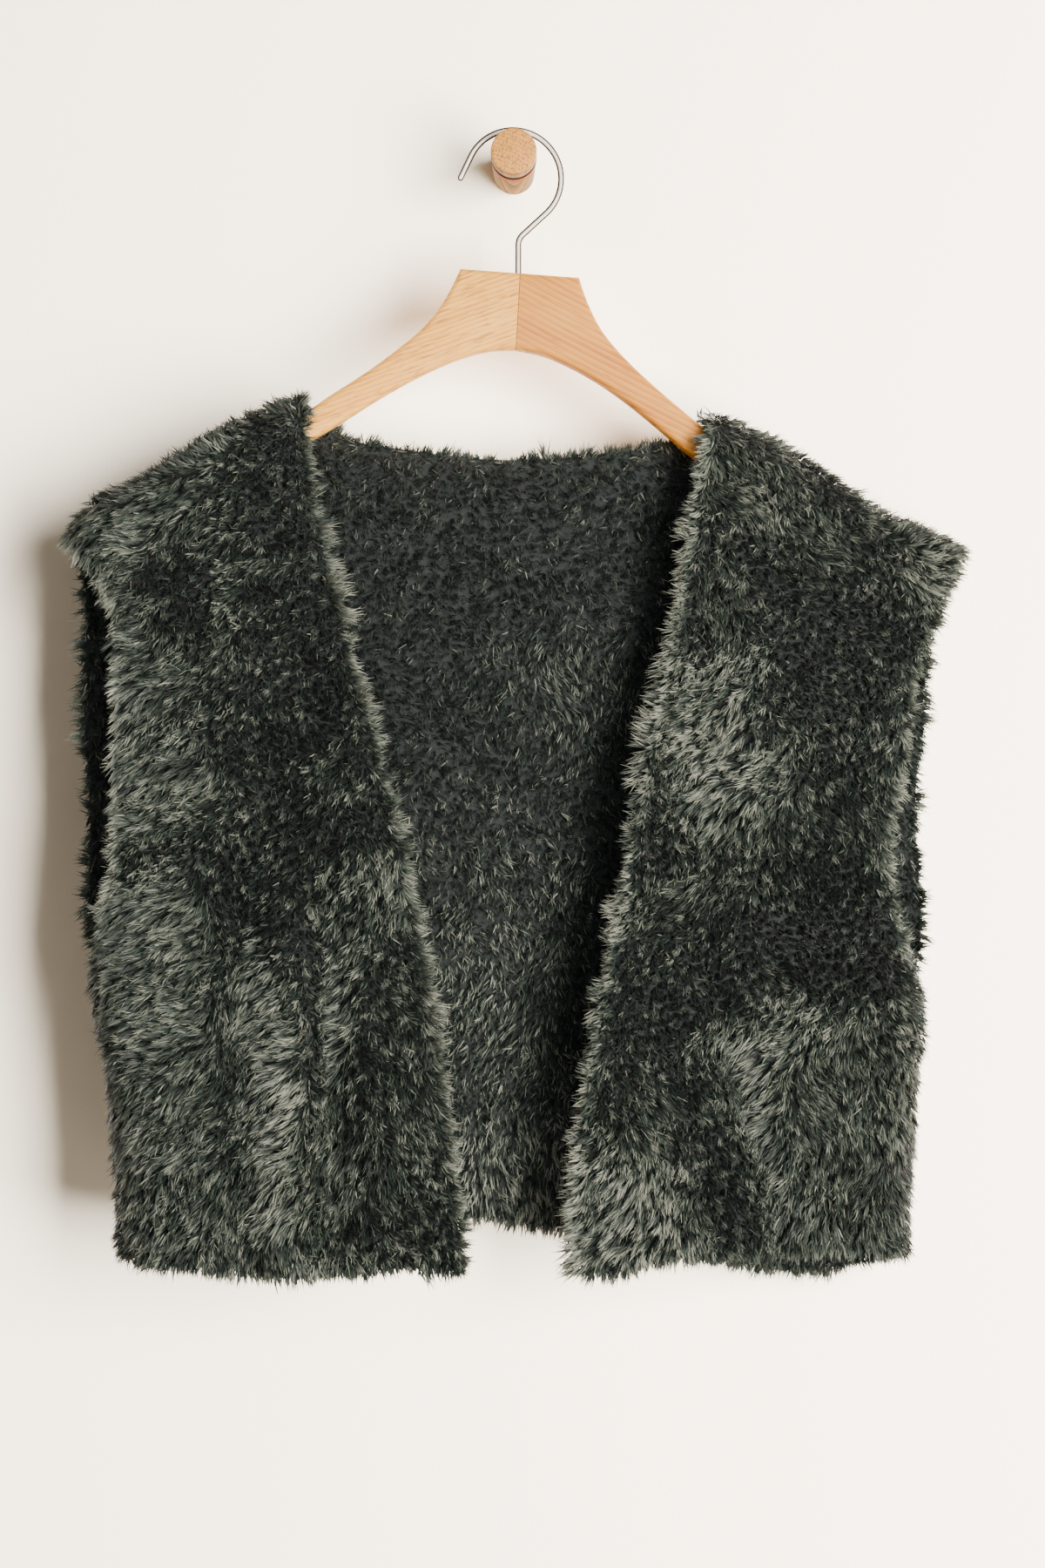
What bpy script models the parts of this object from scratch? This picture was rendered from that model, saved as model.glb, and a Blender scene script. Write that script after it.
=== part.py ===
"""A cropped, open-fronted faux fur vest on a flat wooden hanger, hung from a turned wooden wall peg.

Metres, +Z up. The origin is the centre of the peg's back face, which lies on the wall, the plane
y = 0. Everything stands on the wall's room side, at y < 0.

The hanger's hook rests in the peg's groove. The hanger and the vest are built about one upright
plane through that groove, the hanging plane, which is turned a little about Z. In its own frame x
runs along the plane, y is the depth behind it and z is the height, and all tables below are in
millimetres of that frame. One empty holds the frame, and the pieces are parented to it.

The vest has fur on both faces, so each panel is a wall as thick as cloth and pile together.
"""
import math
from typing import NamedTuple

import bmesh
import bpy
import numpy as np

MM = 0.001

# Wall peg, turned about the Y axis, that droops a little in its wall
PEG_FOOT_RADIUS = 12.1
PEG_BODY_RADIUS = 13.2
PEG_GROOVE_RADIUS = 12.7
PEG_CAP_RADIUS = 13.1
PEG_DROOP = 0.041
PEG_GROOVE_DEPTH_Y = -50.0
PEG_GROOVE_WIDTH = 4.8
PEG_LENGTH = 64.0
PEG_EDGE = 1.0
PEG_STEPS = 48

# Hanging plane: it passes through the groove and is turned about Z
HANGING_YAW = math.radians(5.0)

# Clearances between pieces that meet
SEAM_GAP = 0.3
HOLE_GAP = 0.3

# Hook of round wire
WIRE_RADIUS = 1.8
HOOK_RADIUS = 27.35
HOOK_CENTRE_Z = (PEG_GROOVE_RADIUS + PEG_DROOP * PEG_GROOVE_DEPTH_Y + SEAM_GAP + WIRE_RADIUS
                 - HOOK_RADIUS)
HOOK_TIP = (-30.6, -15.3)
HOOK_START_DEG = 155.0
HOOK_END_DEG = -47.0
SHANK_X = 2.6
SHANK_BEND_RADIUS = 8.0
SHANK_DEPTH_IN_WOOD = 24.0

# Wooden hanger, two halves that meet in a seam which leans with the hanger
WOOD_THICKNESS = 12.0
WOOD_EDGE_RADIUS = 3.0
SEAM_TOP = (3.2, -70.0)
SEAM_BOTTOM = (0.8, -113.4)
SEAM_LEAN = 2.0
ARM_SEAT_DROP = 3.4
ARM_TIP_HEIGHT = 16.0

# Vest: cloth and pile on both faces together
WALL = 11.0
HALF_WALL = WALL / 2
SHOULDER_ROLL = 14.0
SIDE_ROLL_LEFT = 24.0
SIDE_ROLL_RIGHT = 19.0
UNDERARM_T = 0.41
UNDERARM_OPENING_T = 0.09
EDGE_THIN = 0.55
EDGE_THIN_LENGTH = 2.6
EDGE_STOPS = (0.0, 3.0, 9.0)
NECK_CORNERS_S = ((0.24, 0.32), (0.66, 0.745))
LEAST_STOP_SPACING_S = 0.012
FOLD_END_STRETCH = 0.6
FRONT_COLUMNS = 11
FRONT_ROWS = 22
BACK_COLUMNS = 22
BACK_ROWS = 20
ROLL_STEPS = 5


class Row(NamedTuple):
    """One point of an outline: t is the place along it, 0 to 1."""

    t: float
    x: float
    z: float


class NeckRow(NamedTuple):
    """One point of the back's top edge; roll is 1 where it rolls forward into a shoulder seam."""

    s: float
    x: float
    z: float
    roll: float


class Gap(NamedTuple):
    """How far a panel's middle surface stands off the hanging plane, across one height t."""

    t: float
    start: float
    middle: float
    end: float


class Fold(NamedTuple):
    """One soft ridge (depth > 0) or trough (depth < 0) along a line on a panel."""

    x_top: float
    z_top: float
    x_foot: float
    z_foot: float
    half_width: float
    depth: float


# Side seams, hem to underarm, shared by the front and the back
LEFT_SEAM = (
    Row(0.00, -226, -632),
    Row(0.13, -228, -578),
    Row(0.28, -233, -515),
    Row(0.41, -240, -471),
)
RIGHT_SEAM = (
    Row(0.00, 231, -639),
    Row(0.13, 233, -590),
    Row(0.27, 236, -540),
    Row(0.41, 239, -484),
)

# Shoulder seams, neck to tip, shared too: the line is the middle of the wall
LEFT_SHOULDER = (
    Row(0.00, -117, -144),
    Row(0.08, -127, -147),
    Row(0.21, -144, -154),
    Row(0.42, -174, -170),
    Row(0.68, -210, -193),
    Row(0.91, -243, -212),
    Row(1.00, -255, -232),
)
RIGHT_SHOULDER = (
    Row(0.00, 108, -150),
    Row(0.10, 125, -156),
    Row(0.31, 157, -171),
    Row(0.51, 188, -191),
    Row(0.65, 208, -205),
    Row(0.85, 239, -218),
    Row(1.00, 264, -229),
)

# Front edges, hem to neck
LEFT_FRONT_EDGE = (
    Row(0.000, -26, -640),
    Row(0.114, -33, -583),
    Row(0.263, -43, -509),
    Row(0.412, -55, -436),
    Row(0.561, -72, -362),
    Row(0.710, -93, -289),
    Row(0.839, -109, -226),
    Row(0.938, -117, -177),
    Row(1.000, -117, -144),
)
RIGHT_FRONT_EDGE = (
    Row(0.000, 32, -642),
    Row(0.070, 26, -606),
    Row(0.135, 29, -574),
    Row(0.235, 36, -525),
    Row(0.335, 44, -476),
    Row(0.430, 54, -431),
    Row(0.570, 67, -362),
    Row(0.700, 82, -298),
    Row(0.810, 93, -244),
    Row(0.910, 100, -195),
    Row(1.000, 108, -150),
)

# Armhole edges of the fronts, underarm to shoulder tip
LEFT_FRONT_ARMHOLE = (
    Row(0.48, -235, -438),
    Row(0.56, -229, -405),
    Row(0.70, -227, -350),
    Row(0.83, -227, -299),
    Row(0.93, -233, -258),
    Row(1.00, -255, -232),
)
RIGHT_FRONT_ARMHOLE = (
    Row(0.49, 225, -448),
    Row(0.58, 217, -405),
    Row(0.70, 226, -357),
    Row(0.82, 232, -307),
    Row(0.92, 248, -262),
    Row(1.00, 264, -229),
)

# Armhole edges of the back, underarm to shoulder tip
LEFT_BACK_ARMHOLE = (
    Row(0.48, -246, -443),
    Row(0.63, -247, -383),
    Row(0.78, -251, -316),
    Row(0.90, -249, -271),
    Row(1.00, -255, -232),
)
RIGHT_BACK_ARMHOLE = (
    Row(0.49, 246, -452),
    Row(0.65, 243, -384),
    Row(0.80, 248, -318),
    Row(0.91, 252, -276),
    Row(1.00, 264, -229),
)

# Hems: the fronts from the front edge to the seam, the back from left to right
LEFT_FRONT_HEM = (
    Row(0.00, -26, -640),
    Row(0.18, -60, -638),
    Row(0.36, -95, -639),
    Row(0.60, -144, -641),
    Row(0.83, -192, -635),
    Row(1.00, -226, -632),
)
RIGHT_FRONT_HEM = (
    Row(0.00, 32, -642),
    Row(0.10, 52, -643),
    Row(0.25, 82, -635),
    Row(0.48, 127, -635),
    Row(0.72, 175, -632),
    Row(0.87, 204, -632),
    Row(1.00, 231, -639),
)
BACK_HEM = (
    Row(0.00, -226, -632),
    Row(0.18, -144, -628),
    Row(0.31, -85, -620),
    Row(0.44, -24, -617),
    Row(0.56, 27, -626),
    Row(0.69, 88, -637),
    Row(0.83, 149, -649),
    Row(0.91, 191, -651),
    Row(1.00, 231, -639),
)

# The back's top edge: left shoulder, neck, right shoulder
BACK_TOP = (
    NeckRow(0.000, -255, -232, 1.0),
    NeckRow(0.024, -243, -212, 1.0),
    NeckRow(0.085, -210, -193, 1.0),
    NeckRow(0.155, -174, -170, 1.0),
    NeckRow(0.212, -144, -154, 1.0),
    NeckRow(0.246, -127, -147, 1.0),
    NeckRow(0.264, -118, -144, 1.0),
    NeckRow(0.269, -116.4, -145, 0.30),
    NeckRow(0.285, -108, -153, 0.0),
    NeckRow(0.310, -95, -159, 0.0),
    NeckRow(0.380, -59, -165, 0.0),
    NeckRow(0.490, -4, -170, 0.0),
    NeckRow(0.600, 57, -165, 0.0),
    NeckRow(0.672, 92, -158, 0.0),
    NeckRow(0.694, 103, -154, 0.0),
    NeckRow(0.704, 107.6, -151, 0.30),
    NeckRow(0.709, 109.4, -150, 1.0),
    NeckRow(0.738, 125, -156, 1.0),
    NeckRow(0.798, 157, -171, 1.0),
    NeckRow(0.855, 188, -191, 1.0),
    NeckRow(0.895, 208, -205, 1.0),
    NeckRow(0.952, 239, -218, 1.0),
    NeckRow(1.000, 264, -229, 1.0),
)

# Stand-off of each panel from the hanging plane; the fronts from front edge to side
LEFT_FRONT_GAPS = (
    Gap(0.00, 33, 29, 19),
    Gap(0.45, 32, 28, 20),
    Gap(0.80, 25, 23, 20),
    Gap(0.94, 17, 17, 16),
    Gap(1.00, 14, 14, 14),
)
RIGHT_FRONT_GAPS = (
    Gap(0.00, 30, 25, 15),
    Gap(0.45, 28, 24, 15),
    Gap(0.80, 22, 20, 16),
    Gap(0.94, 16, 16, 15),
    Gap(1.00, 14, 14, 14),
)
BACK_GAPS = (
    Gap(0.00, 19, 17, 15),
    Gap(0.45, 18, 16, 14),
    Gap(0.80, 16, 15, 14),
    Gap(1.00, 14, 14, 14),
)

# Largest folds of each panel
LEFT_FRONT_FOLDS = (
    Fold(-128, -470, -132, -622, 15, 5.0),
    Fold(-152, -440, -154, -632, 13, -4.0),
    Fold(-108, -450, -104, -600, 12, -4.5),
    Fold(-86, -400, -80, -560, 14, 4.0),
    Fold(-205, -480, -190, -600, 30, 3.0),
    Fold(-150, -230, -190, -420, 30, 3.0),
    Fold(-120, -330, -175, -470, 24, -3.5),
)
RIGHT_FRONT_FOLDS = (
    Fold(128, -495, 170, -590, 17, 5.0),
    Fold(112, -470, 150, -636, 13, -5.0),
    Fold(60, -540, 82, -622, 26, 5.0),
    Fold(160, -300, 120, -420, 26, 4.0),
    Fold(90, -440, 200, -430, 18, -3.5),
    Fold(205, -420, 215, -560, 22, 3.0),
)
BACK_FOLDS = (
    Fold(-150, -300, -165, -640, 26, 3.5),
    Fold(-60, -330, -66, -610, 22, -3.0),
    Fold(20, -380, 24, -625, 26, 4.0),
    Fold(96, -360, 110, -640, 24, -3.0),
    Fold(170, -330, 176, -650, 26, 2.5),
    Fold(-90, -190, 60, -190, 22, -2.0),
)

# The hanger's outlines, from the seam to where the cloth begins
WOOD_LEFT_TOP = (
    (-31.0, -68.1), (-35.0, -76.8), (-40.2, -86.3), (-46.7, -95.6), (-54.8, -104.4),
    (-64.2, -112.4), (-80.0, -124.6), (-94.0, -134.2), (-106.0, -142.0), (-116.0, -149.2), (-127.0, -155.4),
)
WOOD_LEFT_UNDER = (
    (-14.3, -114.4), (-30.6, -119.0), (-46.0, -125.6), (-62.5, -134.2),
    (-80.4, -144.8), (-96.7, -155.4), (-118.0, -168.4),
)
WOOD_RIGHT_TOP = (
    (37.4, -71.9), (40.4, -81.0), (44.5, -91.0), (50.0, -101.2), (57.4, -110.8),
    (66.0, -119.9), (79.8, -132.6), (92.7, -143.6), (102.0, -151.2), (108.5, -156.4), (125.0, -165.0),
)
WOOD_RIGHT_UNDER = (
    (15.7, -116.2), (31.3, -122.4), (46.0, -130.2), (61.3, -140.2),
    (78.0, -153.0), (93.0, -165.4), (112.0, -180.6),
)
ARM_START_T = 0.16
ARM_REACH_T = 0.62
ARM_POINTS = 6


def clear_scene():
    """Remove whatever the scene holds."""
    for thing in list(bpy.data.objects):
        bpy.data.objects.remove(thing, do_unlink=True)


def material(name, colour, roughness, metallic=0.0):
    """A plain Principled finish."""
    finish = bpy.data.materials.new(name)
    finish.use_nodes = True
    shader = finish.node_tree.nodes["Principled BSDF"]
    shader.inputs["Base Color"].default_value = (*colour, 1.0)
    shader.inputs["Roughness"].default_value = roughness
    shader.inputs["Metallic"].default_value = metallic
    return finish


def add_object(name, mesh, finish, parent=None):
    """Link a mesh as a named object that wears the finish and sits in the parent's frame."""
    thing = bpy.data.objects.new(name, mesh)
    bpy.context.collection.objects.link(thing)
    if finish is not None:
        mesh.materials.append(finish)
    thing.parent = parent
    return thing


def smooth_read(places, values, at):
    """Read a table as a smooth curve: cubic pieces whose slopes are the mean of their neighbours'."""
    places = np.asarray(places, float)
    values = np.asarray(values, float)
    at = np.asarray(at, float)
    slopes = np.gradient(values, places)
    left = np.clip(np.searchsorted(places, at, side="right") - 1, 0, len(places) - 2)
    width = places[left + 1] - places[left]
    u = (at - places[left]) / width
    start = (1 + 2 * u) * (1 - u) ** 2
    end = u * u * (3 - 2 * u)
    bend_in = u * (1 - u) ** 2 * width
    bend_out = u * u * (u - 1) * width
    return (start * values[left] + end * values[left + 1]
            + bend_in * slopes[left] + bend_out * slopes[left + 1])


def smooth_step(value, low, high):
    """0 below low, 1 above high, with a soft ramp between."""
    u = np.clip((value - low) / (high - low), 0.0, 1.0)
    return u * u * (3 - 2 * u)


def read_rows(rows, at):
    """X and Z of an outline table at the given places."""
    places = [row[0] for row in rows]
    return np.stack([
        smooth_read(places, [row.x for row in rows], at),
        smooth_read(places, [row.z for row in rows], at),
    ], axis=-1)


def read_gaps(gaps, across, up):
    """Stand-off over the grid: each height's three values joined by a parabola across the panel."""
    places = [gap.t for gap in gaps]
    start = smooth_read(places, [gap.start for gap in gaps], up)
    middle = smooth_read(places, [gap.middle for gap in gaps], up)
    end = smooth_read(places, [gap.end for gap in gaps], up)
    return (start * (1 - across) * (1 - 2 * across) + 4 * middle * across * (1 - across)
            + end * across * (2 * across - 1))


def fold_depth(folds, x, z):
    """Sum of the soft ridges and troughs at each point: a bell across the fold's line."""
    total = np.zeros_like(x)
    for fold in folds:
        run = np.array([fold.x_foot - fold.x_top, fold.z_foot - fold.z_top])
        length = np.hypot(*run)
        along_x, along_z = run / length
        along = (x - fold.x_top) * along_x + (z - fold.z_top) * along_z
        beyond = along - np.clip(along, 0.0, length)
        aside = (x - fold.x_top) * along_z - (z - fold.z_top) * along_x
        distance = np.hypot(aside, FOLD_END_STRETCH * beyond)
        total += fold.depth * np.exp(-(distance / fold.half_width) ** 2)
    return total


def quarter_turn(place, roll_start):
    """1 up to where a roll starts, then falling to 0 at place 1 as a quarter of an ellipse."""
    u = np.clip((place - roll_start) / (1 - roll_start), 0.0, 1.0)
    return np.sqrt(np.clip(1 - u * u, 0.0, 1.0))


def stops(plain_count, edge_stops, roll_start):
    """Places along a panel: close together at the free edge and evenly turned through the roll."""
    plain = np.linspace(edge_stops[-1], roll_start, plain_count)[1:]
    turns = np.sin(np.linspace(0, math.pi / 2, ROLL_STEPS + 1))[1:]
    rolled = roll_start + (1 - roll_start) * turns
    return np.concatenate([edge_stops, plain, rolled])


def edge_factor(distance):
    """Share of the full wall at a distance in from a free edge, thinning like clipped pile."""
    return 1 - EDGE_THIN * np.exp(-np.maximum(distance, 0.0) / EDGE_THIN_LENGTH)


def patch(start_edge, end_edge, foot, head, s, t):
    """X and Z over the grid, blended from the four edges (a Coons patch); rows run along t."""
    s = s[None, :, None]
    t = t[:, None, None]
    sides = (1 - s) * start_edge[:, None] + s * end_edge[:, None]
    ends = (1 - t) * foot[None] + t * head[None]
    corners = ((1 - s) * (1 - t) * foot[0] + s * (1 - t) * foot[-1]
               + (1 - s) * t * head[0] + s * t * head[-1])
    return sides + ends - corners


def unit_normals(points):
    """Unit normals of a grid of points, from the differences of its rows and columns."""
    down = np.gradient(points, axis=0)
    across = np.gradient(points, axis=1)
    normal = np.cross(across, down)
    return normal / np.linalg.norm(normal, axis=-1, keepdims=True)


def panel_walls(points, seam_share, factor, side):
    """Outer and inner face of a panel, each half a wall away from its middle surface.

    side is -1 for a front and +1 for the back. At a seam the wall stands square on the hanging
    plane, and nothing crosses that plane.
    """
    normal = unit_normals(points)
    facing = np.sign(np.sum(normal[..., 1])) or 1.0
    normal = normal * (side * facing)
    normal[..., 1] *= 1 - seam_share
    normal /= np.linalg.norm(normal, axis=-1, keepdims=True)
    half = HALF_WALL * factor[..., None]
    faces = []
    for sign in (1, -1):
        face = points + sign * half * normal
        face[..., 1] = side * np.maximum(side * face[..., 1], SEAM_GAP / 2)
        faces.append(face)
    return faces


def wall_mesh(name, outer, inner):
    """Close two matching grids of points into one wall with a strip round its edge."""
    rows, columns, _ = outer.shape
    count = rows * columns
    index = np.arange(count).reshape(rows, columns)
    quads = np.stack([index[:-1, :-1], index[:-1, 1:], index[1:, 1:], index[1:, :-1]], axis=-1)
    quads = quads.reshape(-1, 4)
    rim = np.concatenate([index[0, :], index[1:, -1], index[-1, -2::-1], index[-2:0:-1, 0]])
    following = np.roll(rim, -1)
    strip = np.stack([following, rim, rim + count, following + count], axis=-1)
    faces = np.concatenate([quads, quads[:, ::-1] + count, strip])
    points = np.concatenate([outer.reshape(-1, 3), inner.reshape(-1, 3)]) * MM
    mesh = bpy.data.meshes.new(name)
    mesh.from_pydata(points.tolist(), [], faces.tolist())
    build = bmesh.new()
    build.from_mesh(mesh)
    bmesh.ops.recalc_face_normals(build, faces=build.faces)
    build.to_mesh(mesh)
    build.free()
    mesh.shade_smooth()
    return mesh


def front_panel(name, edge, seam, armhole, hem, shoulder, gaps, folds, side_roll):
    """One front: free at its front edge, hem and armhole, rolled back into side and shoulder."""
    width = abs(hem[-1].x - hem[0].x)
    height = abs(edge[-1].z - edge[0].z)
    s = stops(FRONT_COLUMNS, np.array(EDGE_STOPS) / width, 1 - side_roll / width)
    t = stops(FRONT_ROWS, np.array(EDGE_STOPS) / height, 1 - SHOULDER_ROLL / height)
    below = smooth_step(t, UNDERARM_T + UNDERARM_OPENING_T, UNDERARM_T)
    outer_edge = read_rows(seam + armhole, t)
    outer_edge[:, 0] -= np.sign(seam[0].x) * HALF_WALL * below
    flat = patch(read_rows(edge, t), outer_edge, read_rows(hem, s), read_rows(shoulder, s), s, t)
    x, z = flat[..., 0], flat[..., 1]
    across, up = np.meshgrid(s, t)
    depth = read_gaps(gaps, across, up) + fold_depth(folds, x, z)
    side_turn = 1 - below[:, None] * (1 - quarter_turn(s, 1 - side_roll / width))[None]
    depth = depth * side_turn * quarter_turn(t, 1 - SHOULDER_ROLL / height)[:, None]
    points = np.stack([x, -np.maximum(depth, SEAM_GAP / 2), z], axis=-1)
    seam_share = np.zeros_like(x)
    seam_share[:, -1] = below
    seam_share[-1, :] = 1.0
    armhole_factor = 1 - (1 - edge_factor((1 - across) * width)) * (1 - below[:, None])
    factor = edge_factor(across * width) * edge_factor(up * height) * armhole_factor
    outer, inner = panel_walls(points, seam_share, factor, -1)
    return wall_mesh(name, outer, inner)


def back_stops():
    """Places across the back: turned through both side rolls, and kept at the neck's corners."""
    width = RIGHT_SEAM[0].x - LEFT_SEAM[0].x
    left = SIDE_ROLL_LEFT / width
    right = 1 - SIDE_ROLL_RIGHT / width
    turns = np.sin(np.linspace(0, math.pi / 2, ROLL_STEPS + 1))
    left_turn = left * (1 - turns[::-1])
    right_turn = right + (1 - right) * turns
    corners = [row.s for row in BACK_TOP
               if any(low < row.s < high for low, high in NECK_CORNERS_S)]
    plain = [place for place in np.linspace(left, right, BACK_COLUMNS)[1:-1]
             if min(abs(place - corner) for corner in corners) > LEAST_STOP_SPACING_S]
    return np.array(sorted([*left_turn, *corners, *plain, *right_turn]))


def back_panel(name):
    """The back: free at its hem, armholes and neck, rolled forward into sides and shoulders."""
    width = RIGHT_SEAM[0].x - LEFT_SEAM[0].x
    height = LEFT_SHOULDER[0].z - BACK_HEM[0].z
    s = back_stops()
    roll_start = 1 - SHOULDER_ROLL / height
    t = stops(BACK_ROWS, np.array(EDGE_STOPS) / height, roll_start)
    below = smooth_step(t, UNDERARM_T + UNDERARM_OPENING_T, UNDERARM_T)
    left_edge = read_rows(LEFT_SEAM + LEFT_BACK_ARMHOLE, t)
    right_edge = read_rows(RIGHT_SEAM + RIGHT_BACK_ARMHOLE, t)
    left_edge[:, 0] += HALF_WALL * below
    right_edge[:, 0] -= HALF_WALL * below
    flat = patch(left_edge, right_edge, read_rows(BACK_HEM, s), read_rows(BACK_TOP, s), s, t)
    x, z = flat[..., 0], flat[..., 1]
    across, up = np.meshgrid(s, t)
    depth = read_gaps(BACK_GAPS, across, up) + fold_depth(BACK_FOLDS, x, z)
    rolled = np.interp(s, [row.s for row in BACK_TOP], [row.roll for row in BACK_TOP])
    sides = np.minimum(quarter_turn(1 - s, 1 - SIDE_ROLL_LEFT / width),
                       quarter_turn(s, 1 - SIDE_ROLL_RIGHT / width))
    side_turn = 1 - below[:, None] * (1 - sides)[None]
    top_turn = 1 - rolled[None] * (1 - quarter_turn(t, roll_start))[:, None]
    points = np.stack([x, np.maximum(depth * side_turn * top_turn, SEAM_GAP / 2), z], axis=-1)
    seam_share = np.zeros_like(x)
    seam_share[:, 0] = below
    seam_share[:, -1] = below
    seam_share[-1, :] = rolled
    from_side = np.minimum(across, 1 - across) * width
    from_neck = (1 - up) * height + rolled[None] * height
    armhole_factor = 1 - (1 - edge_factor(from_side)) * (1 - below[:, None])
    factor = edge_factor(up * height) * edge_factor(from_neck) * armhole_factor
    corners = [row.x for row, after in zip(BACK_TOP, BACK_TOP[1:]) if row.roll != after.roll]
    from_corner = np.min([np.abs(x - corner) for corner in corners], axis=0)
    factor = np.where(up > roll_start, factor * edge_factor(from_corner), factor)
    outer, inner = panel_walls(points, seam_share, factor, 1)
    return wall_mesh(name, outer, inner)


def outline_prism(name, outline, thickness):
    """A flat slab with the given outline, standing astride the hanging plane, edges rounded.

    The edges that lie along the two halves' seam stay square.
    """
    build = bmesh.new()
    corners = [build.verts.new((x * MM, -thickness / 2 * MM, z * MM)) for x, z in outline]
    face = build.faces.new(corners)
    pushed = bmesh.ops.extrude_face_region(build, geom=[face])
    moved = [item for item in pushed["geom"] if isinstance(item, bmesh.types.BMVert)]
    bmesh.ops.translate(build, verts=moved, vec=(0, thickness * MM, 0))
    bmesh.ops.recalc_face_normals(build, faces=build.faces)
    seam_x = (SEAM_TOP[0] + SEAM_BOTTOM[0]) / 2 * MM
    seam_reach = SEAM_LEAN * MM
    rounded = [
        edge for edge in build.edges
        if edge.verts[0].co.y == edge.verts[1].co.y
        and not all(abs(vert.co.x - seam_x) < seam_reach for vert in edge.verts)
    ]
    bmesh.ops.bevel(build, geom=rounded, offset=WOOD_EDGE_RADIUS * MM, segments=3, profile=0.5,
                    affect="EDGES", clamp_overlap=True)
    mesh = bpy.data.meshes.new(name)
    build.to_mesh(mesh)
    build.free()
    mesh.shade_smooth()
    mesh.set_sharp_from_angle(angle=math.radians(40))
    return mesh


def arm_outline(top, under, shoulder, side):
    """A half's whole outline: seen part, then the arm that carries the shoulder, with a round end."""
    line = read_rows(shoulder, np.linspace(ARM_START_T, ARM_REACH_T, ARM_POINTS))
    arm_top = [(x, z - HALF_WALL - ARM_SEAT_DROP) for x, z in line]
    tip_x, tip_z = arm_top[-1]
    radius = ARM_TIP_HEIGHT / 2
    slope = math.atan2(arm_top[-1][1] - arm_top[-2][1], abs(arm_top[-1][0] - arm_top[-2][0]))
    centre = (tip_x + side * radius * math.sin(slope), tip_z - radius * math.cos(slope))
    end = [(centre[0] + side * radius * math.cos(angle), centre[1] + radius * math.sin(angle))
           for angle in np.radians(range(60, -91, -30)) + slope]
    gap = side * SEAM_GAP / 2
    seam = ((SEAM_TOP[0] + gap, SEAM_TOP[1]), (SEAM_BOTTOM[0] + gap, SEAM_BOTTOM[1]))
    return [seam[0], *top, *arm_top, *end, *reversed(under), seam[1]]


def shank_cutter(parent):
    """The round hole for the hook's shank, taken out of both halves."""
    build = bmesh.new()
    bmesh.ops.create_cone(build, cap_ends=True, segments=20, radius1=(WIRE_RADIUS + HOLE_GAP) * MM,
                          radius2=(WIRE_RADIUS + HOLE_GAP) * MM, depth=2 * SHANK_DEPTH_IN_WOOD * MM)
    mesh = bpy.data.meshes.new("shank_hole")
    build.to_mesh(mesh)
    build.free()
    cutter = add_object("shank_hole", mesh, None, parent)
    cutter.location = (SHANK_X * MM, 0, (SEAM_TOP[1] - 2 * HOLE_GAP) * MM)
    cutter.hide_render = True
    cutter.display_type = "WIRE"
    return cutter


def build_wood(parent):
    """Both halves of the hanger, bored together for the shank."""
    finish = material("beech", (0.72, 0.50, 0.33), 0.5)
    cutter = shank_cutter(parent)
    halves = (
        ("hanger_wood_left", WOOD_LEFT_TOP, WOOD_LEFT_UNDER, LEFT_SHOULDER, -1),
        ("hanger_wood_right", WOOD_RIGHT_TOP, WOOD_RIGHT_UNDER, RIGHT_SHOULDER, 1),
    )
    for name, top, under, shoulder, side in halves:
        mesh = outline_prism(name, arm_outline(top, under, shoulder, side), WOOD_THICKNESS)
        half = add_object(name, mesh, finish, parent)
        bore = half.modifiers.new("shank hole", "BOOLEAN")
        bore.operation = "DIFFERENCE"
        bore.object = cutter
        bore.solver = "EXACT"


def hook_points():
    """Centre line of the hook, tip to shank: a straight tip, an arc, a straight run and a bend."""
    points = [HOOK_TIP]
    for angle in np.radians(np.linspace(HOOK_START_DEG, HOOK_END_DEG, 30)):
        points.append((HOOK_RADIUS * math.cos(angle), HOOK_CENTRE_Z + HOOK_RADIUS * math.sin(angle)))
    end = math.radians(HOOK_END_DEG)
    run_x, run_z = math.sin(end), -math.cos(end)
    turn = math.atan2(-run_x, -run_z)
    shorten = SHANK_BEND_RADIUS * math.tan(turn / 2)
    reach = (SHANK_X - points[-1][0]) / run_x
    corner = (SHANK_X, points[-1][1] + reach * run_z)
    centre = (SHANK_X + SHANK_BEND_RADIUS, corner[1] - shorten)
    for part in np.linspace(1.0, 0.0, 6):
        angle = math.pi - part * turn
        points.append((centre[0] + SHANK_BEND_RADIUS * math.cos(angle),
                       centre[1] + SHANK_BEND_RADIUS * math.sin(angle)))
    points.append((SHANK_X, SEAM_TOP[1]))
    points.append((SHANK_X, SEAM_TOP[1] - SHANK_DEPTH_IN_WOOD + 2 * HOLE_GAP))
    return points


def build_hook(parent):
    """The wire hook, a tube along its centre line with closed ends."""
    points = hook_points()
    wire = bpy.data.curves.new("hanger_hook", "CURVE")
    wire.dimensions = "3D"
    wire.bevel_depth = WIRE_RADIUS * MM
    wire.bevel_resolution = 3
    wire.use_fill_caps = True
    spline = wire.splines.new("POLY")
    spline.points.add(len(points) - 1)
    for point, (x, z) in zip(spline.points, points):
        point.co = (x * MM, 0, z * MM, 1)
    hook = bpy.data.objects.new("hanger_hook", wire)
    bpy.context.collection.objects.link(hook)
    wire.materials.append(material("brushed_steel", (0.62, 0.60, 0.57), 0.3, 1.0))
    hook.parent = parent


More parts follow.
